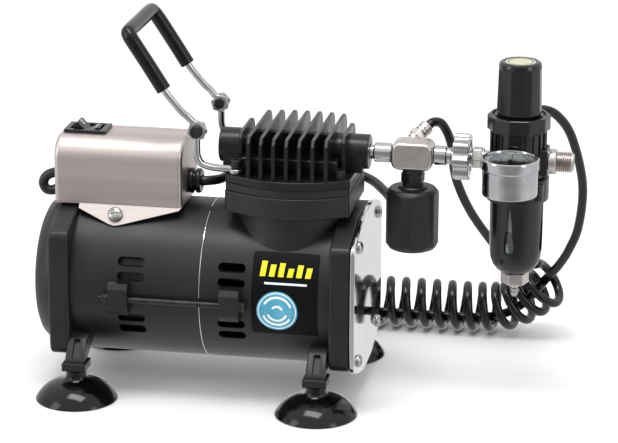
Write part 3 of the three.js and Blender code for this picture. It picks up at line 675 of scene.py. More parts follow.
frontShell = barrel(housing["seam"] + housing["seamGap"], housing["plateFace"] - 1)
bossProfile = [[0, 90], [44.5, 90], [44.5, 118], [43, 126], [42.5, 139], [0, 139]]
frontParts = [prism("x", flangeOutline(), housing["plateFace"] - housing["flangeDepth"],
                    housing["plateFace"], 2, 4),
              turned("z", bossProfile, (head["x"], 0), 96, 0),
              prism("z", headOutline(), head["flangeZ"], head["plateZ"] - 0.35, 0.9, 3, 50)]
frontParts += [leg(housing["legs"]["front"], side) for side in (-1, 1)]
frontParts += [lug(housing["lugs"]["front"], side) for side in (-1, 1)]
front = shaped(frontShell, frontParts, "UNION")
front = shaped(front, [rod("x", 53.9, housing["seam"] - 2, -36, (0, shaftZ), 96, 0)])
front = shaped(front, [rod("x", 50, -33, housing["plateFace"] + 1, (0, shaftZ), 96, 0)])
front = shaped(front, [rod("z", 24, 80, 160, (head["x"], 0), 64, 0)])
front = shaped(front, [rod("x", housing["bearingRadius"], -40, -30, (0, shaftZ), 32, 0)])
front = shaped(front, [ventCutters(housing["vents"]["front"])])
finishPiece("frontHousing", front, "root", "powderCoatedCasting", ["front_housing"])
print("housing made")


# screws and bolts
screwLook = {"recessWidth": 1.0, "recessDepth": 1.5, "recessLength": 0.62}


# domed cross-recess head pointing along +Z
def crossHead(radius, height):
    profile = [[0, 0], [radius, 0], [radius, height * 0.28], [radius * 0.93, height * 0.55],
               [radius * 0.72, height * 0.82], [radius * 0.4, height * 0.96], [0, height]]
    bm = turned("z", profile, (0, 0), 32, 0)
    reach = radius * screwLook["recessLength"]
    half = screwLook["recessWidth"] / 2
    low = height - screwLook["recessDepth"]
    slot = block((-reach, -half, low), (reach, half, height + 1), 0)
    crossSlot = block((-half, -reach, low), (half, reach, height + 1), 0)
    return shaped(bm, [shaped(slot, [crossSlot], "UNION")])


# the same head pointing along +X, its recess turned by the given angle
def crossHeadAlongX(radius, height, spot, turn=0):
    bm = turnedAbout(crossHead(radius, height), "Z", turn)
    bmesh.ops.transform(bm, matrix=axisTurn["x"].to_4x4(), verts=bm.verts)
    return moved(bm, spot)


plate = {"start": 45.3, "end": 48.7, "grow": 0.8, "screwRadius": 4.6, "screwHeight": 3.1,
         "screws": [(-43.5, 34.7), (43.5, 34.7), (43.5, 119.5), (-43.5, 119.5)]}
endPlate = prism("x", flangeOutline(plate["grow"]), plate["start"], plate["end"], 0.7, 3, 40)
finishPiece("endPlate", endPlate, "root", "polishedSteel", ["end_plate"])
screws = [crossHeadAlongX(plate["screwRadius"], plate["screwHeight"], (plate["end"] - 0.1, y, z), 20 + 31 * i)
          for i, (y, z) in enumerate(plate["screws"])]
finishPiece("plateScrews", together(*screws), "root", "zincPlate")

# fan cover with radial air slots and raised rings
fanCover = {"slots": 12, "slotRadius": 29, "slotSize": (20, 6), "slotRounding": 2.95}
profile = [[0, -188], [12, -188], [12.6, -188.6], [14.4, -188.6], [15, -188], [42, -188], [45.5, -187.4],
           [49.5, -185.4], [53, -181], [55.2, -177], [56.5, -173.8], [54, -173.8], [50.5, -180], [46, -184.5],
           [42, -186], [0, -186]]
cover = turned("x", profile, (0, shaftZ), 96, 0)
slots = []
for i in range(fanCover["slots"]):
    outline = roundedRectangle(fanCover["slotRadius"], 0, *fanCover["slotSize"], fanCover["slotRounding"], 5)
    slots.append(moved(turnedAbout(prism("x", outline, -190, -184), "X", 360 / fanCover["slots"] * i),
                       (0, 0, shaftZ)))
cover = shaped(cover, [together(*slots)])
finishPiece("fanCover", cover, "root", "satinPolyamide", ["fan_cover"], 30, 0.4)
print("end plate and fan cover made")

# clamp bolts through the lugs, each with washer, nut and a rolled thread end
clamp = {"y": 61.5, "z": 76, "radius": 2.2, "start": -136, "end": -30.5, "rearNut": -134,
         "frontHead": -29.6, "nutFlats": 7, "washer": 4.6, "threads": 4, "threadPitch": 0.45}
rearFace = housing["lugs"]["rear"] - housing["lugHalf"]
frontFace = housing["lugs"]["front"] + housing["lugHalf"]
for name, side in (("Front", -1), ("Back", 1)):
    spot = (side * clamp["y"], clamp["z"])
    parts = [rod("x", clamp["radius"], clamp["start"], clamp["end"], spot, 32, 0.3),
             hexagon("x", clamp["nutFlats"], clamp["rearNut"], rearFace - 1.0, spot, 0.3),
             ring("x", clamp["washer"], clamp["radius"], rearFace - 1.0, rearFace - 0.1, spot, 32, 0.15),
             ring("x", clamp["washer"], clamp["radius"], frontFace + 0.1, frontFace + 1.0, spot, 32, 0.15),
             hexagon("x", clamp["nutFlats"], frontFace + 1.0, clamp["frontHead"], spot, 0.1)]
    for i in range(clamp["threads"]):
        start = clamp["start"] + 0.3 + clamp["threadPitch"] * i
        parts.append(ring("x", clamp["radius"] + 0.25, clamp["radius"] - 0.2, start, start + 0.2, spot,
                          24, 0))
    finishPiece(f"clampBolt{name}", together(*parts), "root", "blackOxideSteel",
                [f"clamp_bolt_{name.lower()}"])

# suction cups
cupProfile = [[0, 22.2], [6.6, 22.2], [7.4, 21.6], [7.6, 17.4], [8.4, 15.6], [10.6, 14.3], [14, 13.4],
              [18, 11.9], [22, 9.6], [25.4, 6.6], [27.8, 3.6], [29.3, 1.3], [29.5, 0.6], [29.1, 0.1],
              [28.3, 0], [24.5, 2.2], [18, 5.4], [9, 7.6], [0, 8.2]]
for end, x in (("Left", housing["legs"]["rear"]), ("Right", housing["legs"]["front"])):
    for place, side in (("Front", -1), ("Back", 1)):
        cup = turned("z", cupProfile, (x, side * housing["footY"]), 80)
        finishPiece(f"suctionCup{end}{place}", cup, "root", "mouldedRubber",
                    [f"suction_cup_{end.lower()}_{place.lower()}"], 50)
print("bolts and feet made")

# valve plate, gaskets and finned head
finishPiece("valvePlate", prism("z", headOutline(0.5), head["plateZ"] + 0.4, head["baseZ"] - 0.7, 0.5, 2, 50),
            "root", "powderCoatedCasting", ["valve_plate"])
gaskets = [prism("z", headOutline(0.9), head["plateZ"] - 0.35, head["plateZ"] + 0.4),
           prism("z", headOutline(0.9), head["baseZ"] - 0.7, head["baseZ"])]
finishPiece("headGaskets", together(*gaskets), "root", "gasketFibre")


# side view of a fin, well rounded at the back and clipped at the front
def finOutline(half, rounding=9):
    low = head["finBaseZ"] - 1
    top = head["finTopZ"]
    outline = [[-half, low], [half, low], [half, top - rounding]]
    for i in range(1, 6):
        angle = math.pi / 2 * i / 6
        outline.append([half - rounding + rounding * math.cos(angle),
                        top - rounding + rounding * math.sin(angle)])
    return outline + [[half - rounding, top], [4 - half, top], [-half, top - 4.5]]


headParts = []
for i in range(-4, 5):
    last = abs(i) == 4      # the fin at each end is short and a little lower
    x = head["x"] + 1.5 + i * head["finPitch"]
    half = 24 if last else 46 - 0.4 * i * i
    fin = prism("x", finOutline(half), x - head["finThickness"] / 2, x + head["finThickness"] / 2, 0.5, 3, 40)
    headParts.append(moved(fin, (0, 0, -1.5 if last else 0)))
headBody = prism("z", headOutline(), head["baseZ"], head["finBaseZ"], 0.8, 3, 50)
wall = block((head["x"] - 34, -2, head["finBaseZ"] - 1), (head["x"] + 34, 4, 189), 0.6)
core = block((head["x"] - 35, -27, head["finBaseZ"] - 1), (head["x"] + 35, 27, 176), 1.5)
for side in (-1, 1):
    low, high = sorted((head["x"] + side * 54, head["x"] + side * 28))
    headParts.append(rod("x", 12.5, low, high, (0, portZ), 64, 0.9))
    foot = sorted((head["x"] + side * 50.5, head["x"] + side * 30))
    headParts.append(block((foot[0], -12.5, head["finBaseZ"] - 1), (foot[1], 12.5, portZ), 0.6))
headBody = shaped(headBody, [core, wall] + headParts, "UNION")
ports = [rod("x", 5.3, *sorted((head["x"] + side * 56, head["x"] + side * 42)), (0, portZ), 32, 0)
         for side in (-1, 1)]
headBody = shaped(headBody, [together(*ports)])
finishPiece("cylinderHead", headBody, "root", "enamelledCasting", ["cylinder_head"], 35)

# socket screws at the corners of the head, with spring washers; the left pair holds the handle brackets
headScrews = []
for sx in (-1, 1):
    for sy in (-1, 1):
        spot = (head["x"] + sx * head["screwX"], sy * head["screwY"])
        lift = 3.4 if sx < 0 else 0
        low = head["finBaseZ"] + lift
        headScrews.append(ring("z", 4.6, 2.3, low + 0.1, low + 0.9, spot, 32, 0.15))
        headScrews.append(ring("z", 4.2, 2.3, low + 1.1, low + 2.1, spot, 32, 0.2))
        screw = rod("z", 3.9, low + 2.2, low + 6.4, spot, 32, 0.4)
        socket = prism("z", polygon(6, 2.3), low + 4.0, low + 7, 0, 2, 30, spot)
        headScrews.append(shaped(screw, [socket]))
        headScrews.append(rod("z", 2.1, low - 2, low + 3.2, spot, 24, 0))
finishPiece("headScrews", together(*headScrews), "root", "blackOxideSteel")
print("head made")

# switch box: drawn cover, base plate with a folded tab, rocker switch, grommet and lead
box = {"start": -176.5, "end": -82.5, "half": 28, "low": 136.3, "top": 183, "shoulder": 16, "wall": 1.6,
       "endRadius": 3.6, "rockerX": -157.7}


def boxOutline(inset, low):
    half, top, shoulder = box["half"] - inset, box["top"] - inset, box["shoulder"] - inset
    outline = [[-half, low], [half, low]]
    for quarter, sign in ((0, 1), (1, -1)):
        for i in range(13):
            angle = math.pi / 2 * (quarter + i / 12)
            outline.append([sign * (half - shoulder) + shoulder * math.cos(angle),
                            top - shoulder + shoulder * math.sin(angle)])
    return outline


cover = prism("x", boxOutline(0, box["low"] - 8), box["start"], box["end"], box["endRadius"], 6, 50)
inside = prism("x", boxOutline(box["wall"], box["low"] - 12), box["start"] + box["wall"],
               box["end"] - box["wall"], box["endRadius"] - 1, 4, 50)
under = block((-190, -40, 110), (-70, 40, box["low"]), 0)
cover = shaped(shaped(cover, [inside]), [under])
holes = [rod("x", 6.2, box["end"] - 4, box["end"] + 2, (0, 149), 32, 0),
         rod("x", 4.6, box["start"] - 2, box["start"] + 4, (-6, 151), 24, 0),
         rod("x", 4.6, box["start"] - 2, box["start"] + 4, (-6, 140.8), 24, 0),
         rod("y", 4.2, 24, 30, (-135, 150), 24, 0),
         block((box["rockerX"] - 13.4, -9.4, 176), (box["rockerX"] + 13.4, 9.4, 186), 0)]
cover = shaped(cover, [together(*holes)])
finishPiece("switchCover", cover, "root", "brushedNickel", ["switch_cover"], 40, 0.25)

base = block((box["start"] + 0.4, -27.6, 134.9), (box["end"] - 0.4, 27.6, 136.1), 0.4, 2)
tab = prism("z", [[-158, 0.4], [-158, -4.4], [-134.4, -15.4], [-130, -16.4], [-125.6, -15.4], [-84.6, -2.6],
                  [-82.5, 0.4]], -1.2, 0, 0.35, 2, 20)
tab = moved(turnedAbout(tab, "X", 54), (0, -box["half"] + 0.6, 136))
finishPiece("switchBase", shaped(base, [tab], "UNION"), "root", "brushedNickel",
            ["switch_base"], 35)
tabScrew = turnedAbout(crossHead(5.3, 2.6), "Z", 12)
tabScrew = moved(turnedAbout(tabScrew, "X", 54), (-130.3, -33.2, 130.4))
finishPiece("tabScrew", tabScrew, "root", "zincPlate")

bezel = block((box["rockerX"] - 15.5, -11, 183.15), (box["rockerX"] + 15.5, 11, 185.3), 0.7)
well = block((box["rockerX"] - 13.2, -9.2, 168.2), (box["rockerX"] + 13.2, 9.2, 184), 0.3)
bezel = shaped(shaped(bezel, [well], "UNION"), [block((box["rockerX"] - 11.6, -7.5, 171),
                                                      (box["rockerX"] + 11.6, 7.5, 188), 0)])
finishPiece("rockerBezel", bezel, "root", "glossAbs", ["rocker_bezel"], 35)
rocker = {"z": 180.5, "tip": 12, "half": 7}
outline = [[-10.4, 1], [-9.9, 4.4], [-8.6, 7.6], [-7.5, 8], [-4, 5.6], [0, 3.6], [4, 5.6], [7.5, 8],
           [8.6, 7.6], [9.9, 4.4], [10.4, 1], [4, -5], [-4, -5]]
button = prism("y", [[z, x] for x, z in outline], -rocker["half"], rocker["half"], 0.5, 3, 25)
onSpot, offSpot = (5.4, 0, 6.85), (-5.4, 0, 6.85)
onMark = moved(block((-0.35, -2.2, 0), (0.35, 2.2, 0.12), 0), onSpot)
offMark = moved(ring("z", 2.1, 1.5, 0, 0.12, (0, 0), 24, 0), offSpot)
marks = [turnedAbout(onMark, "Y", -30, onSpot), turnedAbout(offMark, "Y", 30, offSpot)]
place = (box["rockerX"], 0, rocker["z"])
finishPiece("rockerButton", moved(turnedAbout(button, "Y", rocker["tip"]), place), "rocker", "glossAbs",
            ["rocker"], 30)
finishPiece("rockerMarks", moved(turnedAbout(together(*marks), "Y", rocker["tip"]), place), "rocker",
            "labelWhite")

end = box["end"]
grommetProfile = [[4.3, end - 4], [6, end - 4], [6, end + 0.2], [8.6, end + 0.2], [9.2, end + 0.8],
                  [9.2, end + 3], [8.6, end + 3.6], [7.5, end + 3.8], [7.3, end + 4.6], [7.6, end + 5.2],
                  [8.8, end + 5.6], [9, end + 6.2], [9, end + 7.6], [8.2, end + 9], [5, end + 9.2],
                  [4.3, end + 8.6], [4.3, end - 4]]
finishPiece("grommet", turned("x", grommetProfile, (0, 149), 48), "root", "mouldedRubber",
            ["grommet"], 50)
gland = [[0, 26.8], [4, 26.8], [4, 28.3], [6.5, 28.4], [6.5, 29.6], [5.8, 30.2], [6, 31], [5.5, 32.2],
         [5.7, 33], [5.2, 34.2], [5.4, 35], [5, 36.4], [3.6, 37], [0, 36.6]]
finishPiece("cableGland", turned("y", gland, (-135, 150), 40), "root", "mouldedRubber",
            ["cable_gland"], 50)
tubeRoute = [[-84.5, 0, 149], [-76, 0, 149], [-70, 0.6, 149], [-62, 8, 148.6], [-57.5, 24, 148],
             [-54.5, 41, 147.6], [-45, 54.5, 147.2], [-30, 58.5, 147], [-5, 60, 146], [24, 58, 144.5],
             [42, 49, 142], [54, 34, 139], [61, 22, 137], [66, 13.4, 136]]
finishPiece("pressureTube", bar(tubeRoute, 3.5, 7, 5), "root", "pvcJacket",
            ["pressure_tube"], 60)
leadRoute = [[x, -6, z] for x, z in ((-175.5, 151), (-182, 150.8), (-188, 147.8), (-190.4, 142.4),
                                     (-188, 137.8), (-183, 137.6), (-179, 139.8), (-175.5, 140.8))]
finishPiece("motorLead", bar(leadRoute, 3.6, 8, 5), "root", "pvcJacket", ["motor_lead"], 60)
print("switch box made")

# carry handle: two bent brackets, knuckles, bail and grip
handle = {"pivotX": -68, "pivotZ": 197.5, "rodRadius": 2.6, "gripRadius": 5.3, "armY": 38,
          "rise": [[-80, 211], [-91, 224], [-102.5, 242], [-113, 258]]}
pivot = (handle["pivotX"], handle["pivotZ"])
for name, side in (("Front", -1), ("Back", 1)):
    eye = (head["x"] - head["screwX"], side * head["screwY"])
    route = [[eye[0] - 3.5, side * 32, 168.6], [-52, side * 34.5, 169.4], [-59, side * 38, 171.2],
             [-65, side * 41, 174.4], [-67.6, side * 41.8, 180], [-68, side * 41.8, 186],
             [-68, side * 41.8, 194]]
    foot = ring("z", 5.4, 2.35, head["finBaseZ"] + 0.1, head["finBaseZ"] + 3.4, eye, 40, 0.8)
    neck = block((eye[0] - 9, side * 32 - 3.2, 167.2), (eye[0] - 3.6, side * 32 + 3.2, 169.6), 0.9)
    knuckle = hexagon("y", 12.6, *sorted((side * 39.4, side * 43.2)), pivot, 0.3, 0.8)
    bracket = shaped(bar(route, handle["rodRadius"], 8), [foot, neck, knuckle], "UNION")
    finishPiece(f"handleBracket{name}", bracket, "root", "chromePlate",
                [f"handle_bracket_{name.lower()}"], 40)
    bolt = [rod("y", 4.6, *sorted((side * 43.3, side * 45.6)), pivot, 32, 0.9),
            rod("y", 2.1, *sorted((side * 32.6, side * 44)), pivot, 24, 0.2),
            hexagon("y", 7, *sorted((side * 34.4, side * 32.2)), pivot, 0.2)]
    finishPiece(f"handleBolt{name}", together(*bolt), "root", "blackOxideSteel")

# the bail's route from one arm over the top to the other, for the part beyond startX
def bailRoute(startX):
    arms = []
    for side in (-1, 1):
        arm = [[x, side * handle["armY"], z] for x, z in handle["rise"] if x <= startX]
        arms.append(arm + [[-116.8, side * 36.6, 263.4], [-118, side * 31, 265.2]])
    return arms[0] + [[-118, 0, 265.2]] + arms[1][::-1]


bail = [[-70, -36.6, 201.5], [-72, -36.9, 203.4], [-76, -38, 207.6], *bailRoute(-80), [-76, 38, 207.6],
        [-72, 36.9, 203.4], [-70, 36.6, 201.5]]
eyes = [hexagon("y", 12, *sorted((side * 34.6, side * 38.8)), pivot, 0.75, 0.8) for side in (-1, 1)]
finishPiece("bail", shaped(bar(bail, handle["rodRadius"], 8), eyes, "UNION"), "handle", "chromePlate",
            ["carry_handle"], 40)
gripLine = [[-92, -38, 225.6], *bailRoute(-100), [-92, 38, 225.6]]
finishPiece("grip", bar(gripLine, handle["gripRadius"], 9, 8), "handle", "dippedVinyl",
            ["handle_grip"], 50, 0.5)
print("handle made")

# air line from the head to the regulator
teeX = 80
nipple = turned("x", [[0, 42.6], [5, 42.6], [5, 52], [6.4, 52.4], [7, 53], [7, 63.6], [6.4, 64.6], [0, 64.6]],
                (0, portZ), 64, 0)
finishPiece("teeNipple", nipple, "root", "chromePlate", ["tee_nipple"], 35, 0.25)
teeBlock = prism("y", roundedRectangle(portZ, teeX, 20, 30, 6.2, 8), -10, 10, 2.6, 5, 40)
finishPiece("teeBlock", teeBlock, "root", "satinNickel", ["tee_block"], 40)


# hose tail: a spanner hexagon, two grip rings and a ferrule, pointing along "aim" and ending at "tip"
def hoseTail(tip, aim, nutSize):
    tail = [turned("z", [[0, -15], [5, -15], [5, -12.6], [0, -12.6]], (0, 0), 32),
            hexagon("z", nutSize, -12.8, -8.2, (0, 0), 0.2, 0.5),
            turned("z", [[0, -8.4], [4.4, -8.4], [4.4, -7.2], [5.3, -6.8], [5.3, -5.6], [4.6, -5.2],
                         [4.6, -4.4], [5.3, -4], [5.3, -0.6], [4.8, 0], [3.6, 0], [3.6, -1], [0, -1]],
                         (0, 0), 40)]
    tail = together(*tail)
    turn = Vector(aim).to_track_quat("Z", "Y").to_matrix().to_4x4()
    bmesh.ops.transform(tail, matrix=Matrix.Translation(tip) @ turn, verts=tail.verts)
    return tail


teeTail = {"tip": (86.4, 26.6, 191.2), "aim": (0.62, 0.55, 0.56)}
elbow = [bar([[77, 8, 178.5], [77, 14, 179.4], [77.6, 17.6, 182.2], [79, 19.6, 184.4]], 4.6, 8, 6),
         hoseTail(teeTail["tip"], teeTail["aim"], 11)]
finishPiece("teeElbow", together(*elbow), "root", "satinNickel", ["tee_elbow"], 35)
union = turned("x", [[0, 95.1], [6.4, 95.1], [7, 95.9], [7, 103.4], [6.4, 104.2], [5.8, 104.4], [5.8, 107.4],
                     [4.6, 107.5], [4.6, 122.4], [0, 122.4]], (0, portZ), 64)
finishPiece("unionNipple", union, "root", "chromePlate", ["union_nipple"], 35, 0.2)

wheelLook = {"lobes": 8, "radius": 15.7, "wave": 1.4, "start": 109.4, "end": 120.8}
outline = []
for i in range(96):
    angle = 2 * math.pi * i / 96
    radius = wheelLook["radius"] + wheelLook["wave"] * math.tanh(1.8 * math.cos(wheelLook["lobes"] * angle))
    outline.append([radius * math.cos(angle), radius * math.sin(angle)])
wheel = prism("x", outline, wheelLook["start"], wheelLook["end"], 0.8, 3, 60, (0, portZ))
dish = [ring("x", 12.4, 7.4, wheelLook["start"] - 1, wheelLook["start"] + 1.4, (0, portZ), 64, 0),
        ring("x", 12.4, 7.4, wheelLook["end"] - 1.4, wheelLook["end"] + 1, (0, portZ), 64, 0),
        rod("x", 5, 100, 130, (0, portZ), 40, 0)]
finishPiece("handWheel", shaped(wheel, [together(*dish)]), "wheel", "chromePlate", ["hand_wheel"],
            35, 0.3)
inlet = [hexagon("x", 14, 122.7, 129.6, (0, portZ), 0, 0.7), rod("x", 5.5, 129, 135.2, (0, portZ), 48, 0.4),
         ring("x", 7, 5, 129.6, 130.8, (0, portZ), 48, 0.3)]
finishPiece("inletNut", together(*inlet), "root", "zincPlate", ["inlet_nut"], 35)
print("air line made")

# silencer: a hexagon with its corners turned down, a small shoulder and a stem with spanner flats
silencer = {"x": teeX, "flats": 35.6, "turn": 0.405, "stemHexagon": 8.7, "stemTurn": 0.35}
silencerBody = turned("z", [[0, 108], [14.8, 108], [16.6, 108.8], [18.9, 112.2], [18.9, 149], [18.3, 150.4],
                      [16.4, 152.6], [15.6, 153], [0, 153]], (silencer["x"], 0), 96)
sides = polygon(6, silencer["flats"] / 2 / math.cos(math.pi / 6), silencer["turn"])
sides = prism("z", sides, 100, 160, 0, 2, 30, (silencer["x"], 0))
silencerBody = shaped(silencerBody, [sides], "INTERSECT")
stem = [turned("z", [[0, 152], [10.4, 152], [10.4, 153.8], [9.6, 154.6], [7.5, 154.8], [7.5, 167.2],
                     [0, 167.2]],
               (silencer["x"], 0), 64),
        prism("z", polygon(6, silencer["stemHexagon"], silencer["stemTurn"]), 157.5, 164, 0.4, 2, 30,
              (silencer["x"], 0))]
finishPiece("silencer", shaped(silencerBody, stem, "UNION"), "root", "powderCoatedCasting",
            ["silencer"], 30, 0.35)

# filter regulator
regX = 154.5
upper = rod("z", 18.9, 166.6, 199.7, (regX, 0), 80, 0.8)
parts = [rod("z", 19.4, 166.5, 171, (regX, 0), 64, 0.6), rod("z", 11.4, 199, 214, (regX, 0), 48, 0.4),
         block((regX + 13, -9, 168.5), (regX + 21.7, 9, 187.5), 1.2),
         rod("x", 9.4, regX - 19.3, regX - 10, (0, portZ), 48, 0.5)]
for i in range(20):
    fin = block((17.6, -0.7, 172), (20.0, 0.7, 198.6), 0.35, 2)
    parts.append(moved(turnedAbout(fin, "Z", 18 * i + 4), (regX, 0, 0)))
finishPiece("regulatorBody", shaped(upper, parts, "UNION"), "root", "glossAbs",
            ["regulator_body"], 35)
screws = [crossHeadAlongX(2.4, 1.6, (regX + 21.7, -5.6, z)) for z in (171.4, 184.6)]
finishPiece("regulatorScrews", together(*screws), "root", "zincPlate")

nut = prism("z", polygon(10, 22.4, 0.12), 200, 211, 1.1, 3, 20, (regX, 0))
nut = shaped(nut, [rod("z", 13.5, 190, 220, (regX, 0), 64, 0),
                   ring("z", 19.2, 16.9, 209.6, 213, (regX, 0), 64, 0)])
finishPiece("ringNut", nut, "root", "glossAbs", ["ring_nut"], 25)

knob = {"sides": 12, "turn": 0.18, "radius": 16, "topRadius": 15, "low": 211.4, "top": 249,
        "ribEvery": 3, "ribGap": 2}
body = prism("z", polygon(knob["sides"], knob["radius"], knob["turn"]), knob["low"], 246.4, 0.9, 3, 20)
taper = knob["topRadius"] / knob["radius"]
for v in body.verts:
    rise = (v.co.z - knob["low"]) / (knob["top"] - knob["low"])
    shrink = 1 + (taper - 1) * rise
    v.co.x *= shrink
    v.co.y *= shrink
cap = turned("z", [[0, 245], [15.1, 245], [15.2, 246.2], [14.6, 248], [13.2, 249], [11.2, 249], [10.8, 248.5],
                   [0, 248.5]], (0, 0), 72, 0)
ribs = []
for i in range(0, knob["sides"], knob["ribEvery"]):
    for j in (-1, 0, 1):
        y = j * knob["ribGap"]
        rib = block((14.9, y - 0.35, 214), (15.75, y + 0.35, 243.5), 0.2, 2)
        turnedAbout(rib, "Y", -1.3, (15, 0, 214))
        ribs.append(turnedAbout(rib, "Z", math.degrees(knob["turn"]) + 360 / knob["sides"] * (i + 0.5)))
body = shaped(body, [cap] + ribs, "UNION")
body = shaped(body, [rod("z", 13.3, 200, 243.5, (0, 0), 64, 0),
                     ring("z", 17, 14.4, 244.3, 245.1, (0, 0), 64, 0)])
finishPiece("regulatorKnob", moved(body, (regX, 0, 0)), "knob", "glossAbs",
            ["regulator_knob"], 25)
disc = [ring("z", 10.6, 9.2, 248.5, 248.72, (regX, 0), 64, 0), rod("z", 8.2, 248.5, 248.66, (regX, 0), 64, 0)]
finishPiece("knobDisc", together(*disc), "knob", "paleEnamel")
print("silencer and regulator made")

# gauge
gauge = {"x": 153.5, "y": -42.4, "ticks": 31, "firstTick": -45, "tickStep": 9, "numbers": 7,
         "numberRadius": 9.8, "numberSize": 4.2, "pointerAngle": 135}
centre = (gauge["x"], gauge["y"])
case = turned("z", [[0, 164], [17.6, 164], [19, 164.7], [19.4, 166], [19.4, 182.6], [20.3, 183.4],
                    [20.5, 184.2], [20.5, 189.4], [20, 190.6], [19.2, 191], [18.5, 190.8], [18, 190],
                    [18, 186.4], [0, 186.4]],
              centre, 96)
stem = [rod("y", 4.6, gauge["y"] + 17, -18.6, (gauge["x"], 173.5), 40, 0.3),
        hexagon("y", 12, gauge["y"] + 19.6, -19.4, (gauge["x"], 173.5), 0, 0.3)]
finishPiece("gaugeCase", shaped(case, stem, "UNION"), "root", "chromePlate", ["gauge_case"], 40)
finishPiece("gaugeDial", rod("z", 17.9, 186.45, 186.7, centre, 72, 0), "root", "dialLacquer")
ticks = []
for i in range(gauge["ticks"]):
    inner, half = (12.6, 0.28) if i % 5 == 0 else (14.2, 0.14)      # every fifth one is long and bold
    tick = block((inner, -half, 186.68), (16, half, 186.8), 0)
    turnedAbout(tick, "Z", gauge["firstTick"] + gauge["tickStep"] * i)
    ticks.append(moved(tick, (*centre, 0)))


# flat number on the dial
def numeral(text, size, spot):
    data = bpy.data.curves.new("numeral", "FONT")
    data.body = text
    data.size = size
    data.align_x = "CENTER"
    data.align_y = "CENTER"
    data.extrude = 0.05
    letter = bpy.data.objects.new("numeral", data)
    scene.collection.objects.link(letter)
    mesh = bpy.data.meshes.new_from_object(letter.evaluated_get(bpy.context.evaluated_depsgraph_get()))
    bpy.data.objects.remove(letter)
    bpy.data.curves.remove(data)
    bm = bmesh.new()
    bm.from_mesh(mesh)
    bpy.data.meshes.remove(mesh)
    return moved(bm, spot)


for i in range(gauge["numbers"]):
    angle = math.radians(225 - 45 * i)
    spot = (gauge["x"] + gauge["numberRadius"] * math.cos(angle),
            gauge["y"] + gauge["numberRadius"] * math.sin(angle), 186.72)
    ticks.append(numeral(str(i), gauge["numberSize"], spot))
finishPiece("gaugeMarks", together(*ticks), "root", "glossAbs")
pointer = prism("z", [[-0.8, -5], [0.8, -5], [0.55, 0], [0.22, 14.6], [-0.22, 14.6], [-0.55, 0]],
                187.3, 187.7)
turnedAbout(pointer, "Z", gauge["pointerAngle"])
moved(pointer, (*centre, 0))
hub = rod("z", 2, 186.85, 188.2, centre, 32, 0.3)
finishPiece("gaugePointer", together(pointer, hub), "needle", "glossAbs", ["gauge_needle"])
lens = turned("z", [[0, 188.9], [17.9, 188.9], [17.9, 189.8], [12, 190.3], [6, 190.5], [0, 190.55]],
              centre, 72)
finishPiece("gaugeLens", lens, "root", "clearPolycarbonate", ["gauge_lens"], 50)
print("gauge made")

# outlet with a male pipe thread
pipeThread = {"start": 182.4, "pitch": 1.337, "turns": 8, "root": 6.3, "crest": 7.7}
thread = [[0, 176.5], [8.6, 176.5], [8.9, 177.2], [8.9, 181.2], [8.4, 181.8], [6.6, 182]]
for i in range(pipeThread["turns"]):
    at = pipeThread["start"] + pipeThread["pitch"] * i
    thread += [[pipeThread["root"], at], [pipeThread["crest"], at + 0.5],
               [pipeThread["crest"], at + 0.68], [pipeThread["root"], at + 1.18]]
thread += [[6.3, 193.6], [5.9, 194], [4, 194], [4, 183], [0, 183]]
finishPiece("outletNipple", turned("x", thread, (0, portZ), 72), "root", "satinNickel",
            ["outlet_nipple"], 35)
route = [[156.5, 19.3, 180], [156.5, 25, 180.2], [156.9, 29, 184], [157.5, 30, 190]]
regulatorTail = {"tip": (157.7, 31, 192), "aim": (0.12, 0.25, 0.96)}
tail = together(bar(route, 3.6, 8, 6), hexagon("y", 9.5, 19.4, 22.6, (156.5, 180), 0, 0.4),
                hoseTail(regulatorTail["tip"], regulatorTail["aim"], 10))
finishPiece("regulatorElbow", tail, "root", "satinNickel", ["regulator_elbow"], 35)

# bowl: guard with four drop-shaped sight slots, bayonet collar, clear bowl inside
guardProfile = [[8, 95], [10.6, 95.4], [13.4, 97.4], [16, 101], [17.8, 105.4], [18.6, 111], [18.8, 120],
                [19, 149], [19.4, 149.5], [22, 149.8], [22.4, 150.4], [22.4, 156.2], [21.9, 156.8],
                [21.9, 157.6], [22.4, 158.2], [22.4, 165.6], [21.8, 166.2], [17.2, 166.2], [17.2, 112],
                [15.6, 104], [11, 98.4], [8, 97], [8, 95]]
guard = turned("z", guardProfile, (0, 0), 96)
slots = []
for i in range(4):
    drop = [[-0.9, 145.4], [-0.5, 146.4], [0.5, 146.4], [0.9, 145.4], [3.4, 119], [3.6, 116], [2.8, 113.4],
            [1.2, 112.2], [-1.2, 112.2], [-2.8, 113.4], [-3.6, 116], [-3.4, 119]]
    slots.append(turnedAbout(prism("x", drop, 10, 26), "Z", 90 * i - 100))
guard = shaped(guard, [together(*slots)])
tabs = []
for i in range(4):
    lump = turned("z", [[0, 151.6], [4.2, 151.6], [5, 152.4], [5, 163.8], [4.2, 164.6], [0, 164.6]],
                  (0, 0), 32)
    tabs.append(turnedAbout(moved(lump, (19.4, 0, 0)), "Z", 90 * i - 40))
guard = shaped(guard, tabs, "UNION")
guard = shaped(guard, [rod("z", 17.1, 140, 170, (0, 0), 64, 0)])
finishPiece("bowlGuard", moved(guard, (regX, 0, 0)), "bowl", "glossAbs",
            ["bowl_guard"], 35, 0.25)
bowlProfile = [[5.5, 99.4], [10.4, 99.4], [13, 101.8], [15, 105], [16.3, 109], [16.9, 113.5], [16.9, 165.8],
               [15.4, 165.8], [15.4, 113.5], [14.8, 110], [13.6, 106], [11.6, 103], [9.6, 101.4],
               [5.5, 101.4], [5.5, 99.4]]
finishPiece("filterBowl", turned("z", bowlProfile, (regX, 0), 72), "bowl", "clearPolycarbonate",
            ["filter_bowl"], 40)
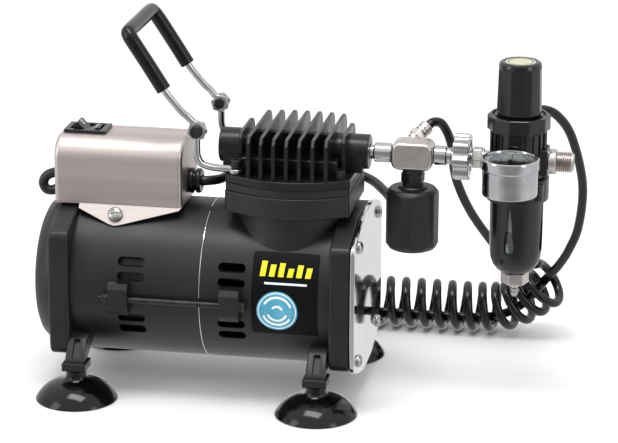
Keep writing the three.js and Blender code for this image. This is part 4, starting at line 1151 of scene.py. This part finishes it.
drainNut = [hexagon("z", 18, 86.2, 94.6, (regX, 0), 0.2, 1.0),
            turned("z", [[3.3, 86.2], [3.3, 84.9], [6, 84.9], [7.6, 86.3], [3.3, 86.4]], (regX, 0), 48),
            ring("z", 5.2, 3.3, 94, 104, (regX, 0), 40, 0.3)]
finishPiece("drainNut", together(*drainNut), "bowl", "satinNickel", ["drain_nut"], 35)
pin = [[0, 76], [1.6, 76], [2.3, 77.6], [3, 79.2], [2.2, 79.6], [3, 81.8], [2.2, 82.2], [3, 84.4],
       [2.4, 84.8], [2.9, 86.4], [2.9, 98], [0, 98]]
finishPiece("drainPin", turned("z", pin, (regX, 0), 40), "drain", "chromePlate", ["drain_pin"], 30)
print("bowl made")

# label: printed foil wrapped on the front of the housing
label = {"start": -26, "end": 21.6, "low": -22.6, "high": 38.9, "bend": 3, "barX": -20.6, "barY": 21,
         "barPitch": 6.5, "barWidth": 5.2, "barSlant": 1.2, "bars": [11, 8.6, 10, 6.4, 9.2, 7.4]}


# bends a flat shape, drawn as x and height along the wall, round the housing
def wrapped(bm, lift):
    for i in range(-9, 14):
        bmesh.ops.bisect_plane(bm, geom=bm.verts[:] + bm.edges[:] + bm.faces[:], dist=0.001,
                               plane_co=(0, i * label["bend"], 0), plane_no=(0, 1, 0))
    for v in bm.verts:
        radius = housing["radius"] + lift + v.co.z
        angle = v.co.y / housing["radius"]
        v.co = (v.co.x, -radius * math.cos(angle), shaftZ + radius * math.sin(angle))
    bmesh.ops.recalc_face_normals(bm, faces=bm.faces)
    return bm


middle = (label["start"] + label["end"]) / 2
foil = prism("z", roundedRectangle(middle, (label["low"] + label["high"]) / 2, label["end"] - label["start"],
                                   label["high"] - label["low"], 2, 5), 0, 0.16)
finishPiece("labelFoil", wrapped(foil, 0.02), "root", "labelBlack", (), 50)
bars = []
for i, tall in enumerate(label["bars"]):
    x, end = label["barX"] + label["barPitch"] * i, label["barX"] + label["barPitch"] * i + label["barWidth"]
    low, high = label["barY"], label["barY"] + tall
    slanted = [[x, low], [end - label["barSlant"], low], [end, high], [x + label["barSlant"], high]]
    bars.append(wrapped(prism("z", slanted, 0, 0.05), 0.18))
finishPiece("labelBars", together(*bars), "root", "labelYellow", (), 50)
emblem = {"x": -7.5, "y": -4.2, "radius": 14.8,
          "rings": [(13.8, 13.1, 0, 359.5), (11.2, 9.6, 20, 150), (7.8, 6.2, 200, 340), (4.6, 3, 20, 150),
                    (11.2, 9.6, 200, 330)]}


# part of a flat ring round the middle of the disc, from one angle to the other
def emblemRing(outer, inner, start, end, steps=48):
    angles = [math.radians(start + (end - start) * i / steps) for i in range(steps + 1)]
    outline = []
    for radius, run in ((outer, angles), (inner, angles[::-1])):
        outline += [[emblem["x"] + radius * math.cos(a), emblem["y"] + radius * math.sin(a)] for a in run]
    return outline


disc = prism("z", [[emblem["x"] + x, emblem["y"] + y] for x, y in polygon(64, emblem["radius"])], 0, 0.05)
finishPiece("labelDisc", wrapped(disc, 0.18), "root", "labelBlue", (), 50)
lines = [wrapped(prism("z", [[-17, 15.4], [13.6, 15.4], [13.6, 16.9], [-17, 16.9]], 0, 0.05), 0.18)]
for outer, inner, start, end in emblem["rings"]:
    lines.append(wrapped(prism("z", emblemRing(outer, inner, start, end), 0, 0.03), 0.24))
finishPiece("labelLines", together(*lines), "root", "labelWhite", (), 50)
print("label made")

cadMaterials = {
    "stator_core": "laminatedSteel", "stator_winding": "varnishedCopper", "rotor_core": "laminatedSteel",
    "motor_shaft": "groundSteel", "bearing_rear": "groundSteel", "bearing_front": "groundSteel",
    "cooling_fan": "satinPolyamide", "crank_disc": "groundSteel", "cylinder_sleeve": "groundSteel",
    "piston_rod": "machinedAluminium", "pressure_switch": "satinPolyamide", "adjusting_screw": "zincPlate",
    "filter_element": "pressedFelt",
}
for name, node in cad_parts.items():
    if not node.hide_render:
        node.data.materials.clear()
        node.data.materials.append(materials[cadMaterials.get(name, "powderCoatedCasting")])
print("kept CAD nodes given their materials")
